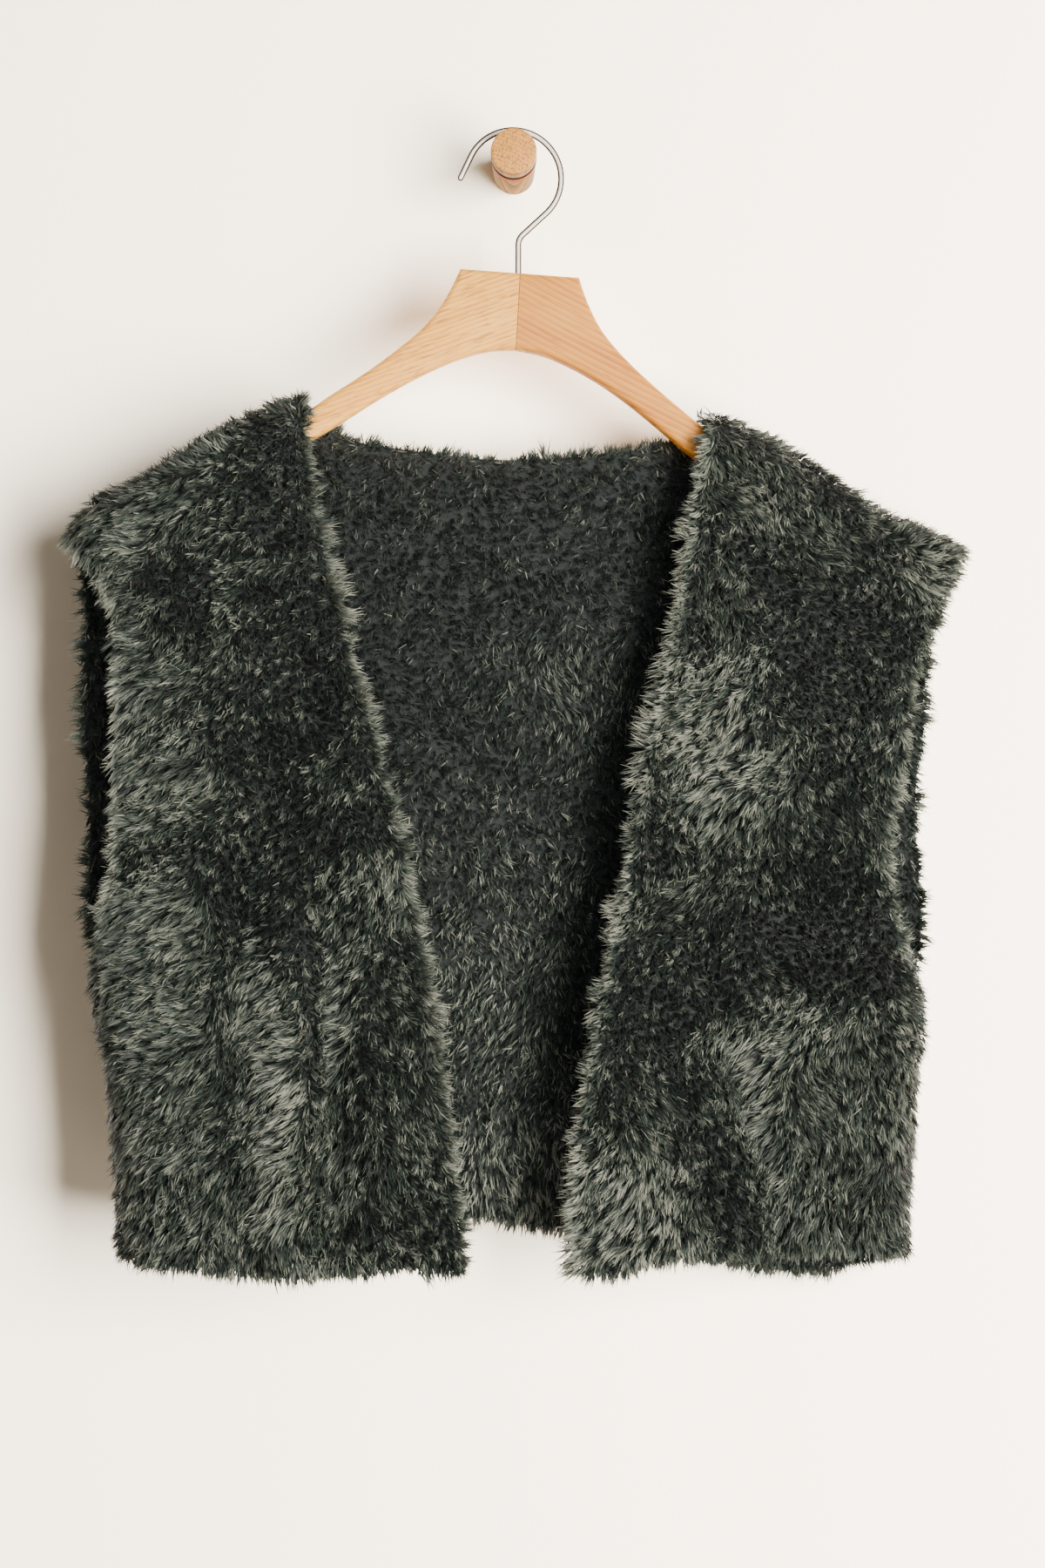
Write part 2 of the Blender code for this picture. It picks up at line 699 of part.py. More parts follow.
def build_peg():
    """The turned peg: tapered body, groove for the hook and cap, with its flat back on the wall.

    Each ring is lowered in proportion to how far it stands out, so the back stays upright.
    """
    groove_near = PEG_GROOVE_DEPTH_Y + PEG_GROOVE_WIDTH / 2
    groove_far = PEG_GROOVE_DEPTH_Y - PEG_GROOVE_WIDTH / 2
    profile = (
        (0.0, 0.0),
        (PEG_FOOT_RADIUS, 0.0),
        (PEG_BODY_RADIUS, groove_near),
        (PEG_GROOVE_RADIUS, groove_near),
        (PEG_GROOVE_RADIUS, groove_far),
        (PEG_CAP_RADIUS, groove_far),
        (PEG_CAP_RADIUS, -PEG_LENGTH + PEG_EDGE),
        (PEG_CAP_RADIUS - 0.3 * PEG_EDGE, -PEG_LENGTH + 0.3 * PEG_EDGE),
        (PEG_CAP_RADIUS - PEG_EDGE, -PEG_LENGTH),
        (0.0, -PEG_LENGTH),
    )
    build = bmesh.new()
    corners = [build.verts.new((radius * MM, y * MM, 0)) for radius, y in profile]
    edges = [build.edges.new(pair) for pair in zip(corners, corners[1:])]
    bmesh.ops.spin(build, geom=corners + edges, axis=(0, 1, 0), cent=(0, 0, 0),
                   angle=2 * math.pi, steps=PEG_STEPS)
    bmesh.ops.remove_doubles(build, verts=build.verts, dist=0.00001)
    bmesh.ops.recalc_face_normals(build, faces=build.faces)
    for corner in build.verts:
        corner.co.z += PEG_DROOP * corner.co.y
    mesh = bpy.data.meshes.new("wall_peg")
    build.to_mesh(mesh)
    build.free()
    mesh.shade_smooth()
    mesh.set_sharp_from_angle(angle=math.radians(35))
    add_object("wall_peg", mesh, material("oak", (0.62, 0.43, 0.27), 0.55))


def build_vest(parent):
    """The vest's three cut pieces: two fronts and the back."""
    fur = material("grey_green_faux_fur", (0.075, 0.088, 0.083), 0.95)
    left = front_panel("vest_front_left", LEFT_FRONT_EDGE, LEFT_SEAM, LEFT_FRONT_ARMHOLE,
                       LEFT_FRONT_HEM, LEFT_SHOULDER, LEFT_FRONT_GAPS, LEFT_FRONT_FOLDS,
                       SIDE_ROLL_LEFT)
    right = front_panel("vest_front_right", RIGHT_FRONT_EDGE, RIGHT_SEAM, RIGHT_FRONT_ARMHOLE,
                        RIGHT_FRONT_HEM, RIGHT_SHOULDER, RIGHT_FRONT_GAPS, RIGHT_FRONT_FOLDS,
                        SIDE_ROLL_RIGHT)
    add_object("vest_front_left", left, fur, parent)
    add_object("vest_front_right", right, fur, parent)
    add_object("vest_back", back_panel("vest_back"), fur, parent)


def main():
    """Build the peg, then everything that hangs in the turned plane."""
    clear_scene()
    build_peg()
    hanging_plane = bpy.data.objects.new("hanging_plane", None)
    bpy.context.collection.objects.link(hanging_plane)
    hanging_plane.location = (0, PEG_GROOVE_DEPTH_Y * MM, 0)
    hanging_plane.rotation_euler = (0, 0, HANGING_YAW)
    build_hook(hanging_plane)
    build_wood(hanging_plane)
    build_vest(hanging_plane)


main()
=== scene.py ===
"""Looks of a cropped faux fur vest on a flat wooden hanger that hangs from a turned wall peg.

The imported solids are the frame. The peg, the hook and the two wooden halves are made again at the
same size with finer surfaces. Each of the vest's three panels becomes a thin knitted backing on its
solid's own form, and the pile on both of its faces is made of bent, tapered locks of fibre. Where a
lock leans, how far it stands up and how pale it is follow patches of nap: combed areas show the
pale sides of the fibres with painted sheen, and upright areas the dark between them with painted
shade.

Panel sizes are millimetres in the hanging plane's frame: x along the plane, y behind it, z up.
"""
from __future__ import annotations

import logging
import math
from dataclasses import dataclass
from enum import Enum

import bmesh
import bpy
import numpy as np
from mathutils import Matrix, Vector


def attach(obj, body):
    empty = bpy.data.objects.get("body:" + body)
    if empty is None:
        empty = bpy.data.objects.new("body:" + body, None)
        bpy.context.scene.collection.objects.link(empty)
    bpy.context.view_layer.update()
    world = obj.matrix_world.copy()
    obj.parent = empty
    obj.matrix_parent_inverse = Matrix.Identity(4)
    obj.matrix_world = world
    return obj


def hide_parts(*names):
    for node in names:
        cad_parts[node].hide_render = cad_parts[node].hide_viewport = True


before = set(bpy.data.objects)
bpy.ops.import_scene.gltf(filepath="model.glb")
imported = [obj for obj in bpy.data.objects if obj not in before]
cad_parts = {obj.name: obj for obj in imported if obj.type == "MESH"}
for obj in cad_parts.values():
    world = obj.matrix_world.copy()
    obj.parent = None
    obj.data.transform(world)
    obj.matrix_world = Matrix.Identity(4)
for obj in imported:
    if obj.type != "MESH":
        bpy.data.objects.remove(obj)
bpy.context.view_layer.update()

log = logging.getLogger("vest")
MM = 0.001
BODY = "root"
LATTICE = 256

Array = np.ndarray
Mesh, Object, Material = bpy.types.Mesh, bpy.types.Object, bpy.types.Material
NodeTree, Node, NodeSocket = bpy.types.NodeTree, bpy.types.Node, bpy.types.NodeSocket
Pair = tuple[float, float]
Triple = tuple[float, float, float]
Rows = tuple[tuple[float, ...], ...]
Stops = tuple[tuple[float, str], ...]


# Frame of the hanging plane


@dataclass(frozen=True)
class HangingPlane:
    """The upright plane through the peg's groove in which hanger and vest hang."""

    depth_mm: float = -50.0
    yaw: float = math.radians(5.0)

    def world(self, points: Array) -> Array:
        """Turn millimetres in the plane's frame into metres of the part's frame.

        The points are turned about Z by the yaw and moved to the groove.

        Args:
            points: array (..., 3) of x along the plane, y behind it and z up.

        Returns:
            Array of the same shape in metres.
        """
        c, s = math.cos(self.yaw), math.sin(self.yaw)
        x = points[..., 0] * c - points[..., 1] * s
        y = points[..., 0] * s + points[..., 1] * c + self.depth_mm
        return np.stack([x, y, points[..., 2]], axis=-1) * MM


PLANE = HangingPlane()


# Meshes and smooth readings


def smooth_read(places: Array, values: Array, at: Array) -> Array:
    """Read a table as a smooth curve of cubic pieces with the mean slope at each row.

    Args:
        places: rising places of the rows.
        values: the rows' values.
        at: array of places to read, of any shape.

    Returns:
        Array of values shaped as at.
    """
    places = np.asarray(places, float)
    values = np.asarray(values, float)
    slopes = np.gradient(values, places)
    left = np.clip(np.searchsorted(places, at, side="right") - 1, 0, len(places) - 2)
    width = places[left + 1] - places[left]
    u = np.clip((at - places[left]) / width, 0.0, 1.0)
    start = (1 + 2 * u) * (1 - u) ** 2
    end = u * u * (3 - 2 * u)
    bend_in = u * (1 - u) ** 2 * width
    bend_out = u * u * (u - 1) * width
    return (start * values[left] + end * values[left + 1]
            + bend_in * slopes[left] + bend_out * slopes[left + 1])


def smooth_step(value: Array, low: float, high: float) -> Array:
    """0 at low and 1 at high, with a soft ramp between; low may be above high."""
    u = np.clip((value - low) / (high - low), 0.0, 1.0)
    return u * u * (3 - 2 * u)


def unit(vectors: Array) -> Array:
    """Vectors along the last axis made one long."""
    return vectors / np.maximum(np.linalg.norm(vectors, axis=-1, keepdims=True), 1e-9)


def mesh_from(name: str, points: Array, faces: Array) -> Mesh:
    """Put whole arrays of points and faces into a mesh.

    Args:
        name: the mesh's name.
        points: (n, 3) in metres.
        faces: (m, k) vertex numbers, k corners a face.

    Returns:
        The new mesh, shaded smooth.
    """
    mesh = bpy.data.meshes.new(name)
    count, corners = faces.shape
    mesh.vertices.add(len(points))
    mesh.vertices.foreach_set("co", np.ascontiguousarray(points, np.float32).ravel())
    mesh.loops.add(count * corners)
    mesh.loops.foreach_set("vertex_index", np.ascontiguousarray(faces, np.int32).ravel())
    mesh.polygons.add(count)
    mesh.polygons.foreach_set("loop_start", np.arange(0, count * corners, corners, dtype=np.int32))
    mesh.update(calc_edges=True)
    mesh.validate()
    mesh.shade_smooth()
    return mesh


def add_piece(name: str, mesh: Mesh, finish: Material) -> Object:
    """Link a mesh as a piece that rides on the body and wears the finish.

    Args:
        name: the piece's name.
        mesh: its mesh, in the part's frame.
        finish: its material.

    Returns:
        The new object, at the origin.
    """
    piece = link_object(name, mesh)
    mesh.materials.append(finish)
    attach(piece, BODY)
    return piece


def close_mesh(mesh: Mesh, rings: tuple[Array, ...] = ()) -> None:
    """Close open rings of vertices with a face each and point all faces outwards.

    Args:
        mesh: the mesh to change.
        rings: the vertex numbers round each open end.
    """
    build = bmesh.new()
    build.from_mesh(mesh)
    build.verts.ensure_lookup_table()
    for ring in rings:
        build.faces.new([build.verts[int(i)] for i in ring])
    bmesh.ops.recalc_face_normals(build, faces=build.faces)
    build.to_mesh(mesh)
    build.free()


def link_object(name: str, data: bpy.types.ID) -> Object:
    """Make an object of a mesh, a lamp or a camera and link it to the scene.

    Args:
        name: the object's name.
        data: what it shows.

    Returns:
        The new object, at the origin.
    """
    made = bpy.data.objects.new(name, data)
    bpy.context.scene.collection.objects.link(made)
    return made


def lattice_noise(x: Array, z: Array, cell: float, seed: int) -> Array:
    """Soft random field from -1 to 1: random values on a square lattice, blended between them.

    Args:
        x: places across, in millimetres.
        z: places up, in millimetres.
        cell: lattice spacing in millimetres.
        seed: number of the random draw.

    Returns:
        Array shaped as x.
    """
    values = np.random.default_rng(seed).uniform(-1, 1, (LATTICE, LATTICE))
    # The shifts keep the lattice's own corner away from the vest's middle
    u, v = x / cell + 57.3, z / cell + 91.7
    i, j = np.floor(u).astype(int), np.floor(v).astype(int)
    fu, fv = u - i, v - j
    fu, fv = fu * fu * (3 - 2 * fu), fv * fv * (3 - 2 * fv)
    i, j, i1, j1 = i % LATTICE, j % LATTICE, (i + 1) % LATTICE, (j + 1) % LATTICE
    low = values[i, j] * (1 - fu) + values[i1, j] * fu
    high = values[i, j1] * (1 - fu) + values[i1, j1] * fu
    return low * (1 - fv) + high * fv


def waver(x: Array, z: Array, waves: Rows, seed: int = 0) -> Array:
    """Sum of soft noises of several sizes.

    Args:
        x: places across, in millimetres.
        z: places up, in millimetres.
        waves: rows of a noise's size, its cell in millimetres and the number of its draw.
        seed: added to each number.

    Returns:
        Array shaped as x.
    """
    return sum(size * lattice_noise(x, z, cell, seed + number) for size, cell, number in waves)


# Finishes


def linear(colour: str) -> tuple[float, float, float, float]:
    """An sRGB hex colour as linear RGBA."""
    parts = [int(colour.lstrip("#")[i:i + 2], 16) / 255 for i in (0, 2, 4)]
    return (*[c / 12.92 if c <= 0.04045 else ((c + 0.055) / 1.055) ** 2.4 for c in parts], 1.0)


def set_node(tree: NodeTree, node: Node, settings: dict,
             links: dict) -> Node:
    """Give a node its settings and its links.

    Args:
        tree: the material's node tree.
        node: the node.
        settings: input name or number, or node property, to its value. The stops of a colour ramp
            are (place, hex colour) pairs.
        links: input name or number to the output that feeds it.

    Returns:
        The same node.
    """
    for key, value in settings.items():
        if key == "stops":
            elements = node.color_ramp.elements
            while len(elements) < len(value):
                elements.new(0.5)
            for element, (place, colour) in zip(elements, value):
                element.position = place
                element.color = linear(colour)
        elif isinstance(key, int) or key in node.inputs:
            node.inputs[key].default_value = value
        else:
            setattr(node, key, value)
    for key, output in links.items():
        tree.links.new(output, node.inputs[key])
    return node


def add_node(tree: NodeTree, kind: str, settings: dict | None = None,
             links: dict | None = None) -> Node:
    """Add a shader node of a kind, with settings and links as set_node takes them."""
    return set_node(tree, tree.nodes.new("ShaderNode" + kind), settings or {}, links or {})


def new_material(name: str) -> tuple[Material, NodeTree, Node]:
    """Start a material that has a Principled shader.

    Args:
        name: the material's name.

    Returns:
        The material, its node tree and the shader.
    """
    made = bpy.data.materials.new(name)
    made.use_nodes = True
    return made, made.node_tree, made.node_tree.nodes["Principled BSDF"]


# A wave texture repeats after this length over its scale
WAVE_PERIOD = 0.314


@dataclass(frozen=True)
class PileFinish:
    """Acrylic pile, dyed grey-green and clipped: dull, with a soft sheen on its fibres' sides."""

    name: str = "acrylic_pile_clipped"
    stops: Stops = (
        (0.0, "#040806"), (0.2, "#1d2924"), (0.45, "#525a51"), (0.72, "#82867a"), (1.0, "#aaab9d"),
    )
    roughness: float = 0.52
    specular: float = 0.32
    sheen: float = 0.06
    sheen_roughness: float = 0.45
    drift_mm: float = 38.0
    hues: Pair = (0.488, 0.512)

    def make(self) -> Material:
        """Colour by the lock's own tone, with a faint hue drift.

        Its paleness is painted sheen and painted shade, and it darkens towards the root as painted
        shade.

        Returns:
            The material.
        """
        made, tree, shader = new_material(self.name)
        tone = add_node(tree, "Attribute", {"attribute_name": "tone"})
        colour = add_node(tree, "ValToRGB", {"stops": self.stops},
                          {"Fac": tone.outputs["Fac"]})
        place = add_node(tree, "TexCoord")
        drift = add_node(tree, "TexNoise",
                         {"Scale": 1 / (self.drift_mm * MM), "Detail": 2.0},
                         {"Vector": place.outputs["Object"]})
        hue = add_node(tree, "MapRange",
                       {"To Min": self.hues[0], "To Max": self.hues[1]},
                       {"Value": drift.outputs["Fac"]})
        tinted = add_node(tree, "HueSaturation",
                          links={"Hue": hue.outputs["Result"], "Color": colour.outputs["Color"]})
        set_node(tree, shader,
                 {"Roughness": self.roughness, "Specular IOR Level": self.specular,
                  "Sheen Weight": self.sheen, "Sheen Roughness": self.sheen_roughness},
                 {"Base Color": tinted.outputs["Color"]})
        return made


@dataclass(frozen=True)
class BackingFinish:
    """Warp-knitted polyester backing, dyed as the pile: matt, with rows of knitted loops.

    Its dark colour is partly the dye and partly painted shade beneath the pile.
    """

    name: str = "polyester_knit_backing"
    # Dark stops: the dye, darkened with painted shade beneath the pile
    stops: Stops = ((0.3, "#15191a"), (0.7, "#272d2c"))
    loop_mm: float = 1.4
    loop_height_mm: float = 0.4
    dye_mm: float = 3.0
    roughness: float = 0.95

    def make(self) -> Material:
        """Dark knit: one wave up the cloth raises the rows of loops, and noise mottles the dye.

        Returns:
            The material.
        """
        made, tree, shader = new_material(self.name)
        place = add_node(tree, "TexCoord").outputs["Object"]
        rows = add_node(tree, "TexWave",
                        {"Scale": WAVE_PERIOD / (self.loop_mm * MM), "bands_direction": "Z",
                         "Distortion": 1.5}, {"Vector": place})
        mottle = add_node(tree, "TexNoise",
                          {"Scale": 1 / (self.dye_mm * MM), "Detail": 4.0}, {"Vector": place})
        colour = add_node(tree, "ValToRGB", {"stops": self.stops},
                          {"Fac": mottle.outputs["Fac"]})
        bump = add_node(tree, "Bump",
                        {"Strength": 0.5, "Distance": self.loop_height_mm * MM},
                        {"Height": rows.outputs["Fac"]})
        set_node(tree, shader, {"Roughness": self.roughness},
                 {"Base Color": colour.outputs["Color"], "Normal": bump.outputs["Normal"]})
        return made


class GrainCut(Enum):
    """Which way a wooden piece's fibres run."""

    ALONG_ARM = "beside the wall, turned in its plane by the grain's angle"
    ALONG_PEG = "turned about the upright axis by it"


@dataclass(frozen=True)
class ScorchAndGrooveShade:
    """A reddened ring that turning leaves on a peg, and painted shade that darkens its groove.

    Spans are depths out of the wall in millimetres over which a mark's share rises from 0 to its
    full share, or falls from 1 to 0 at the groove's far wall. Noise shifts the ring's by up to
    ragged_mm.
    """

    ring: str
    # Colour of the painted shade in the groove
    groove: str
    ring_span: Pair = (29.0, 36.0)
    ring_share: float = 0.8
    ragged_mm: float = 14.0
    ragged_cell_mm: float = 7.0
    groove_span: Pair = (46.9, 47.6)
    groove_share: float = 0.95
    far_wall_span: Pair = (52.3, 52.5)

    def lay(self, tree: NodeTree, place: NodeSocket,
            colour: NodeSocket) -> NodeSocket:
        """Mix both marks over the wood: each one's share by depth, times the far wall's.

        The groove's mark is painted shade.

        Args:
            tree: the wood's node tree.
            place: object coordinates, where y falls from 0 at the wall.
            colour: the wood's colour.

        Returns:
            The marked colour.
        """
        ragged = add_node(tree, "TexNoise",
                          {"Scale": 1 / (self.ragged_cell_mm * MM), "Detail": 3.0},
                          {"Vector": place})
        apart = add_node(tree, "SeparateXYZ", links={"Vector": place})
        uneven = add_node(tree, "Math",
                          {"operation": "MULTIPLY_ADD", 1: self.ragged_mm * MM},
                          {0: ragged.outputs["Fac"], 2: apart.outputs["Y"]})
        near, far = self.far_wall_span
        beyond = add_node(tree, "MapRange",
                          {"From Min": -near * MM, "From Max": -far * MM, "To Min": 1.0,
                           "To Max": 0.0}, {"Value": apart.outputs["Y"]})
        marks = (
            (self.ring, self.ring_span, self.ring_share, uneven.outputs[0]),
            (self.groove, self.groove_span, self.groove_share, apart.outputs["Y"]),
        )
        for mark, (near, far), full, depth in marks:
            rising = add_node(tree, "MapRange",
                              {"From Min": -near * MM, "From Max": -far * MM, "To Max": full},
                              {"Value": depth})
            share = add_node(tree, "Math", {"operation": "MULTIPLY"},
                             {0: rising.outputs["Result"], 1: beyond.outputs["Result"]})
            colour = add_node(tree, "Mix", {"data_type": "RGBA", 7: linear(mark)},
                              {0: share.outputs[0], 6: colour}).outputs[2]
        return colour


@dataclass(frozen=True)
class WoodFinish:
    """Sawn and sanded hardwood under thin matt lacquer: ring bands, fine pore lines and flecks.

    The runs are the shares to which rings, uneven bands and pore lines are squeezed along the
    fibres, and the scales of bands and pores are counted in rings.
    """

    name: str
    pale: str
    middle: str
    dark: str
    pore: str
    ring_mm: float
    cut: GrainCut = GrainCut.ALONG_ARM
    grain_deg: float = 0.0
    pore_share: float = 0.5
    ring_run: float = 0.35
    band_run: float = 0.10
    pore_run: float = 0.045
    band_scale: float = 0.35
    pore_scale: float = 2.6
    band_mix: float = 0.62
    roughness: float = 0.5
    specular: float = 0.3
    scorch_and_groove_shade: ScorchAndGrooveShade | None = None

    def make(self) -> Material:
        """Rings across the grain, uneven bands, and thin pore lines that run along it.

        The object's own coordinates are turned so that the first axis runs along the fibres, and
        noise squeezed along that axis makes the lines.

        Returns:
            The material.
        """
        made, tree, shader = new_material(self.name)
        place = add_node(tree, "TexCoord").outputs["Object"]
        angle = math.radians(self.grain_deg)
        turn = (0.0, 0.0, angle) if self.cut is GrainCut.ALONG_PEG else (0.0, angle, 0.0)
        turned = add_node(tree, "Mapping", {"Rotation": turn}, {"Vector": place})
        ring_place, band_place, pore_place = (
            add_node(tree, "Mapping", {"Scale": (run, 1.0, 1.0)},
                     {"Vector": turned.outputs["Vector"]}).outputs["Vector"]
            for run in (self.ring_run, self.band_run, self.pore_run))
        ring = 1 / (self.ring_mm * MM)
        rings = add_node(tree, "TexWave",
                         {"Scale": ring * WAVE_PERIOD, "bands_direction": "Z",
                          "wave_profile": "SAW", "Distortion": 1.6, "Detail": 2.0,
                          "Detail Scale": 0.35}, {"Vector": ring_place})
        bands = add_node(tree, "TexNoise",
                         {"Scale": ring * self.band_scale, "Detail": 3.0, "Roughness": 0.6},
                         {"Vector": band_place})
        pores = add_node(tree, "TexNoise",
                         {"Scale": ring * self.pore_scale, "Detail": 2.0}, {"Vector": pore_place})
        soft = add_node(tree, "Mix", {"data_type": "FLOAT", 0: self.band_mix},
                        {2: rings.outputs["Fac"], 3: bands.outputs["Fac"]})
        stops = ((0.28, self.dark), (0.46, self.middle), (0.68, self.pale))
        body = add_node(tree, "ValToRGB", {"stops": stops}, {"Fac": soft.outputs[0]})
        lines = add_node(tree, "MapRange",
                         {"From Min": 0.54, "From Max": 0.68, "To Max": self.pore_share},
                         {"Value": pores.outputs["Fac"]})
        colour = add_node(tree, "Mix", {"data_type": "RGBA", 7: linear(self.pore)},
                          {0: lines.outputs["Result"], 6: body.outputs["Color"]}).outputs[2]
        # The reddened ring, and painted shade in the groove
        if self.scorch_and_groove_shade:
            colour = self.scorch_and_groove_shade.lay(tree, place, colour)
        bump = add_node(tree, "Bump", {"Strength": 0.15, "Distance": 0.2 * MM},
                        {"Height": pores.outputs["Fac"]})
        set_node(tree, shader,
                 {"Roughness": self.roughness, "Specular IOR Level": self.specular},
                 {"Base Color": colour, "Normal": bump.outputs["Normal"]})
        return made


@dataclass(frozen=True)
class EndGrainFinish:
    """Sawn end grain of oak under wax: ring bands with open pores and thin rays across them.

    The rings' heart lies off the peg, and rays and pores run along the tilt.
    """

    name: str = "oak_end_grain"
    stops: Stops = ((0.2, "#cf8c3a"), (0.7, "#e09e46"))
    ray: str = "#a5682a"
    pore: str = "#6b3f14"
    ring_mm: float = 2.2
    ray_mm: float = 0.6
    pore_mm: float = 0.8
    run: float = 0.3
    tilt_deg: float = -14.0
    heart: Triple = (0.01, 0.0, 0.06)
    roughness: float = 0.6

    def make(self) -> Material:
        """Gently curved ring bands, thin rays square to them, and pores scattered over both.

        Returns:
            The material.
        """
        made, tree, shader = new_material(self.name)
        place = add_node(tree, "TexCoord").outputs["Object"]
        turned = add_node(tree, "Mapping",
                          {"Rotation": (0, math.radians(self.tilt_deg), 0),
                           "Location": self.heart}, {"Vector": place}).outputs["Vector"]
        rings = add_node(tree, "TexWave",
                         {"wave_type": "RINGS", "rings_direction": "Y",
                          "Scale": WAVE_PERIOD / (self.ring_mm * MM), "Distortion": 1.2,
                          "Detail": 2.0}, {"Vector": turned})
        upright = add_node(tree, "Mapping", {"Scale": (1.0, 1.0, self.run)},
                           {"Vector": turned}).outputs["Vector"]
        rays = add_node(tree, "TexNoise",
                        {"Scale": 1 / (self.ray_mm * MM), "Detail": 2.0}, {"Vector": upright})
        pores = add_node(tree, "TexVoronoi", {"Scale": 1 / (self.pore_mm * MM)},
                         {"Vector": upright})
        body = add_node(tree, "ValToRGB", {"stops": self.stops},
                        {"Fac": rings.outputs["Fac"]})
        streak = add_node(tree, "MapRange",
                          {"From Min": 0.52, "From Max": 0.66, "To Max": 0.6},
                          {"Value": rays.outputs["Fac"]})
        dots = add_node(tree, "MapRange",
                        {"From Min": 0.16, "From Max": 0.4, "To Min": 0.85, "To Max": 0.0},
                        {"Value": pores.outputs["Distance"]})
        colour = body.outputs["Color"]
        for mark, share in ((self.ray, streak), (self.pore, dots)):
            colour = add_node(tree, "Mix", {"data_type": "RGBA", 7: linear(mark)},
                              {0: share.outputs["Result"], 6: colour}).outputs[2]
        set_node(tree, shader, {"Roughness": self.roughness}, {"Base Color": colour})
        return made


@dataclass(frozen=True)
class SteelFinish:
    """Drawn steel wire, with brushing streaks along its length and a painted reflection.

    The painted reflection gives a bright middle and dark sides, and its stops go from where the
    wire faces the eye to where it turns away.
    """

    name: str = "brushed_steel_wire"
    stops: Stops = ((0.15, "#ffffff"), (0.19, "#f6f1ea"), (0.24, "#5e4634"), (0.36, "#1f150e"))
    streak_scale: Triple = (90.0, 3.0, 1.0)
    streak_share: float = 0.25
    roughness: Pair = (0.34, 0.46)
    metallic: float = 0.15
    specular: float = 0.2

    def make(self) -> Material:
        """Colour by how far the wire turns away, shifted by fine streaks along its UV length.

        The colour is a painted reflection: pale facing the eye, dark turning away.

        Returns:
            The material.
        """
        made, tree, shader = new_material(self.name)
        along = add_node(tree, "UVMap", {"uv_map": "wire"})
        scaled = add_node(tree, "Mapping", {"Scale": self.streak_scale},
                          {"Vector": along.outputs["UV"]})
        streaks = add_node(tree, "TexNoise", {"Scale": 1.0, "Detail": 3.0},
                           {"Vector": scaled.outputs["Vector"]})
        # Painted reflection: pale where the wire faces the eye, dark where it turns away
        facing = add_node(tree, "LayerWeight", {"Blend": 0.35})
        streaks_and_painted_reflection = add_node(tree, "Math",
                           {"operation": "MULTIPLY_ADD", 1: self.streak_share},
                           {0: streaks.outputs["Fac"], 2: facing.outputs["Facing"]})
        colour = add_node(tree, "ValToRGB", {"stops": self.stops},
                          {"Fac": streaks_and_painted_reflection.outputs[0]})
        rough = add_node(tree, "MapRange",
                         {"To Min": self.roughness[0], "To Max": self.roughness[1]},
                         {"Value": streaks.outputs["Fac"]})
        set_node(tree, shader, {"Metallic": self.metallic, "Specular IOR Level": self.specular},
                 {"Base Color": colour.outputs["Color"], "Roughness": rough.outputs["Result"]})
        return made


# The vest's panels


@dataclass(frozen=True)
class Outline:
    """An edge of a panel: rows of place along it, x and z."""

    rows: Rows

    def at(self, place: Array) -> Array:
        """X and z at the given places, as a smooth curve through the rows.

        Args:
            place: places along the edge, 0 to 1, of any shape.

        Returns:
            Array (..., 2) in millimetres.
        """
        table = np.array(self.rows)
        return np.stack([smooth_read(table[:, 0], table[:, 1], place),
                         smooth_read(table[:, 0], table[:, 2], place)], axis=-1)


@dataclass(frozen=True)
class Fold:
    """A soft ridge (depth > 0) or trough (depth < 0) along a line from top to foot."""

    x_top: float
    z_top: float
    x_foot: float
    z_foot: float
    half_width: float
    depth: float


@dataclass(frozen=True)
class NapPatch:
    """An area where the pile lies one way.

    lean is the way the tips point, seen from the face's own outside with x to the right:
    0 to the right, 90 up, -90 down. lift is the angle from the cloth in degrees, and light the
    paleness from 0 to 1: painted sheen where the pile lies flat and painted shade where it stands.
    turn rotates the patch's own ellipse.
    """

    x: float
    z: float
    reach_x: float
    reach_z: float
    turn: float
    lean: float
    lift: float
    light: float
    weight: float = 1.6
    fall: float = 1.2

    def share(self, x: Array, z: Array) -> Array:
        """The patch's weight at each place: a bell over its ellipse.

        Args:
            x: places along the plane in millimetres.
            z: heights in millimetres.

        Returns:
            Array shaped as x.
        """
        turn = math.radians(self.turn)
        off_x, off_z = x - self.x, z - self.z
        across = off_x * math.cos(turn) + off_z * math.sin(turn)
        up = -off_x * math.sin(turn) + off_z * math.cos(turn)
        reach = (across / self.reach_x) ** 2 + (up / self.reach_z) ** 2
        return self.weight * np.exp(-self.fall * reach)


@dataclass(frozen=True)
class NapNoise:
    """How soft noise unsettles the nap: rows of a noise's size, its cell in millimetres, its draw.

    The warps move the patches' outlines, in millimetres, lean is in radians and lift in degrees.
    """

    warp_x: Rows = ((9.0, 21.0, 5), (4.0, 8.0, 6))
    warp_z: Rows = ((11.0, 23.0, 7), (5.0, 9.0, 8))
    lean: Rows = ((0.55, 26.0, 0), (0.4, 11.0, 1))
    lift: Rows = ((9.0, 14.0, 2),)
    light: Rows = ((0.10, 17.0, 3), (0.08, 7.0, 4))


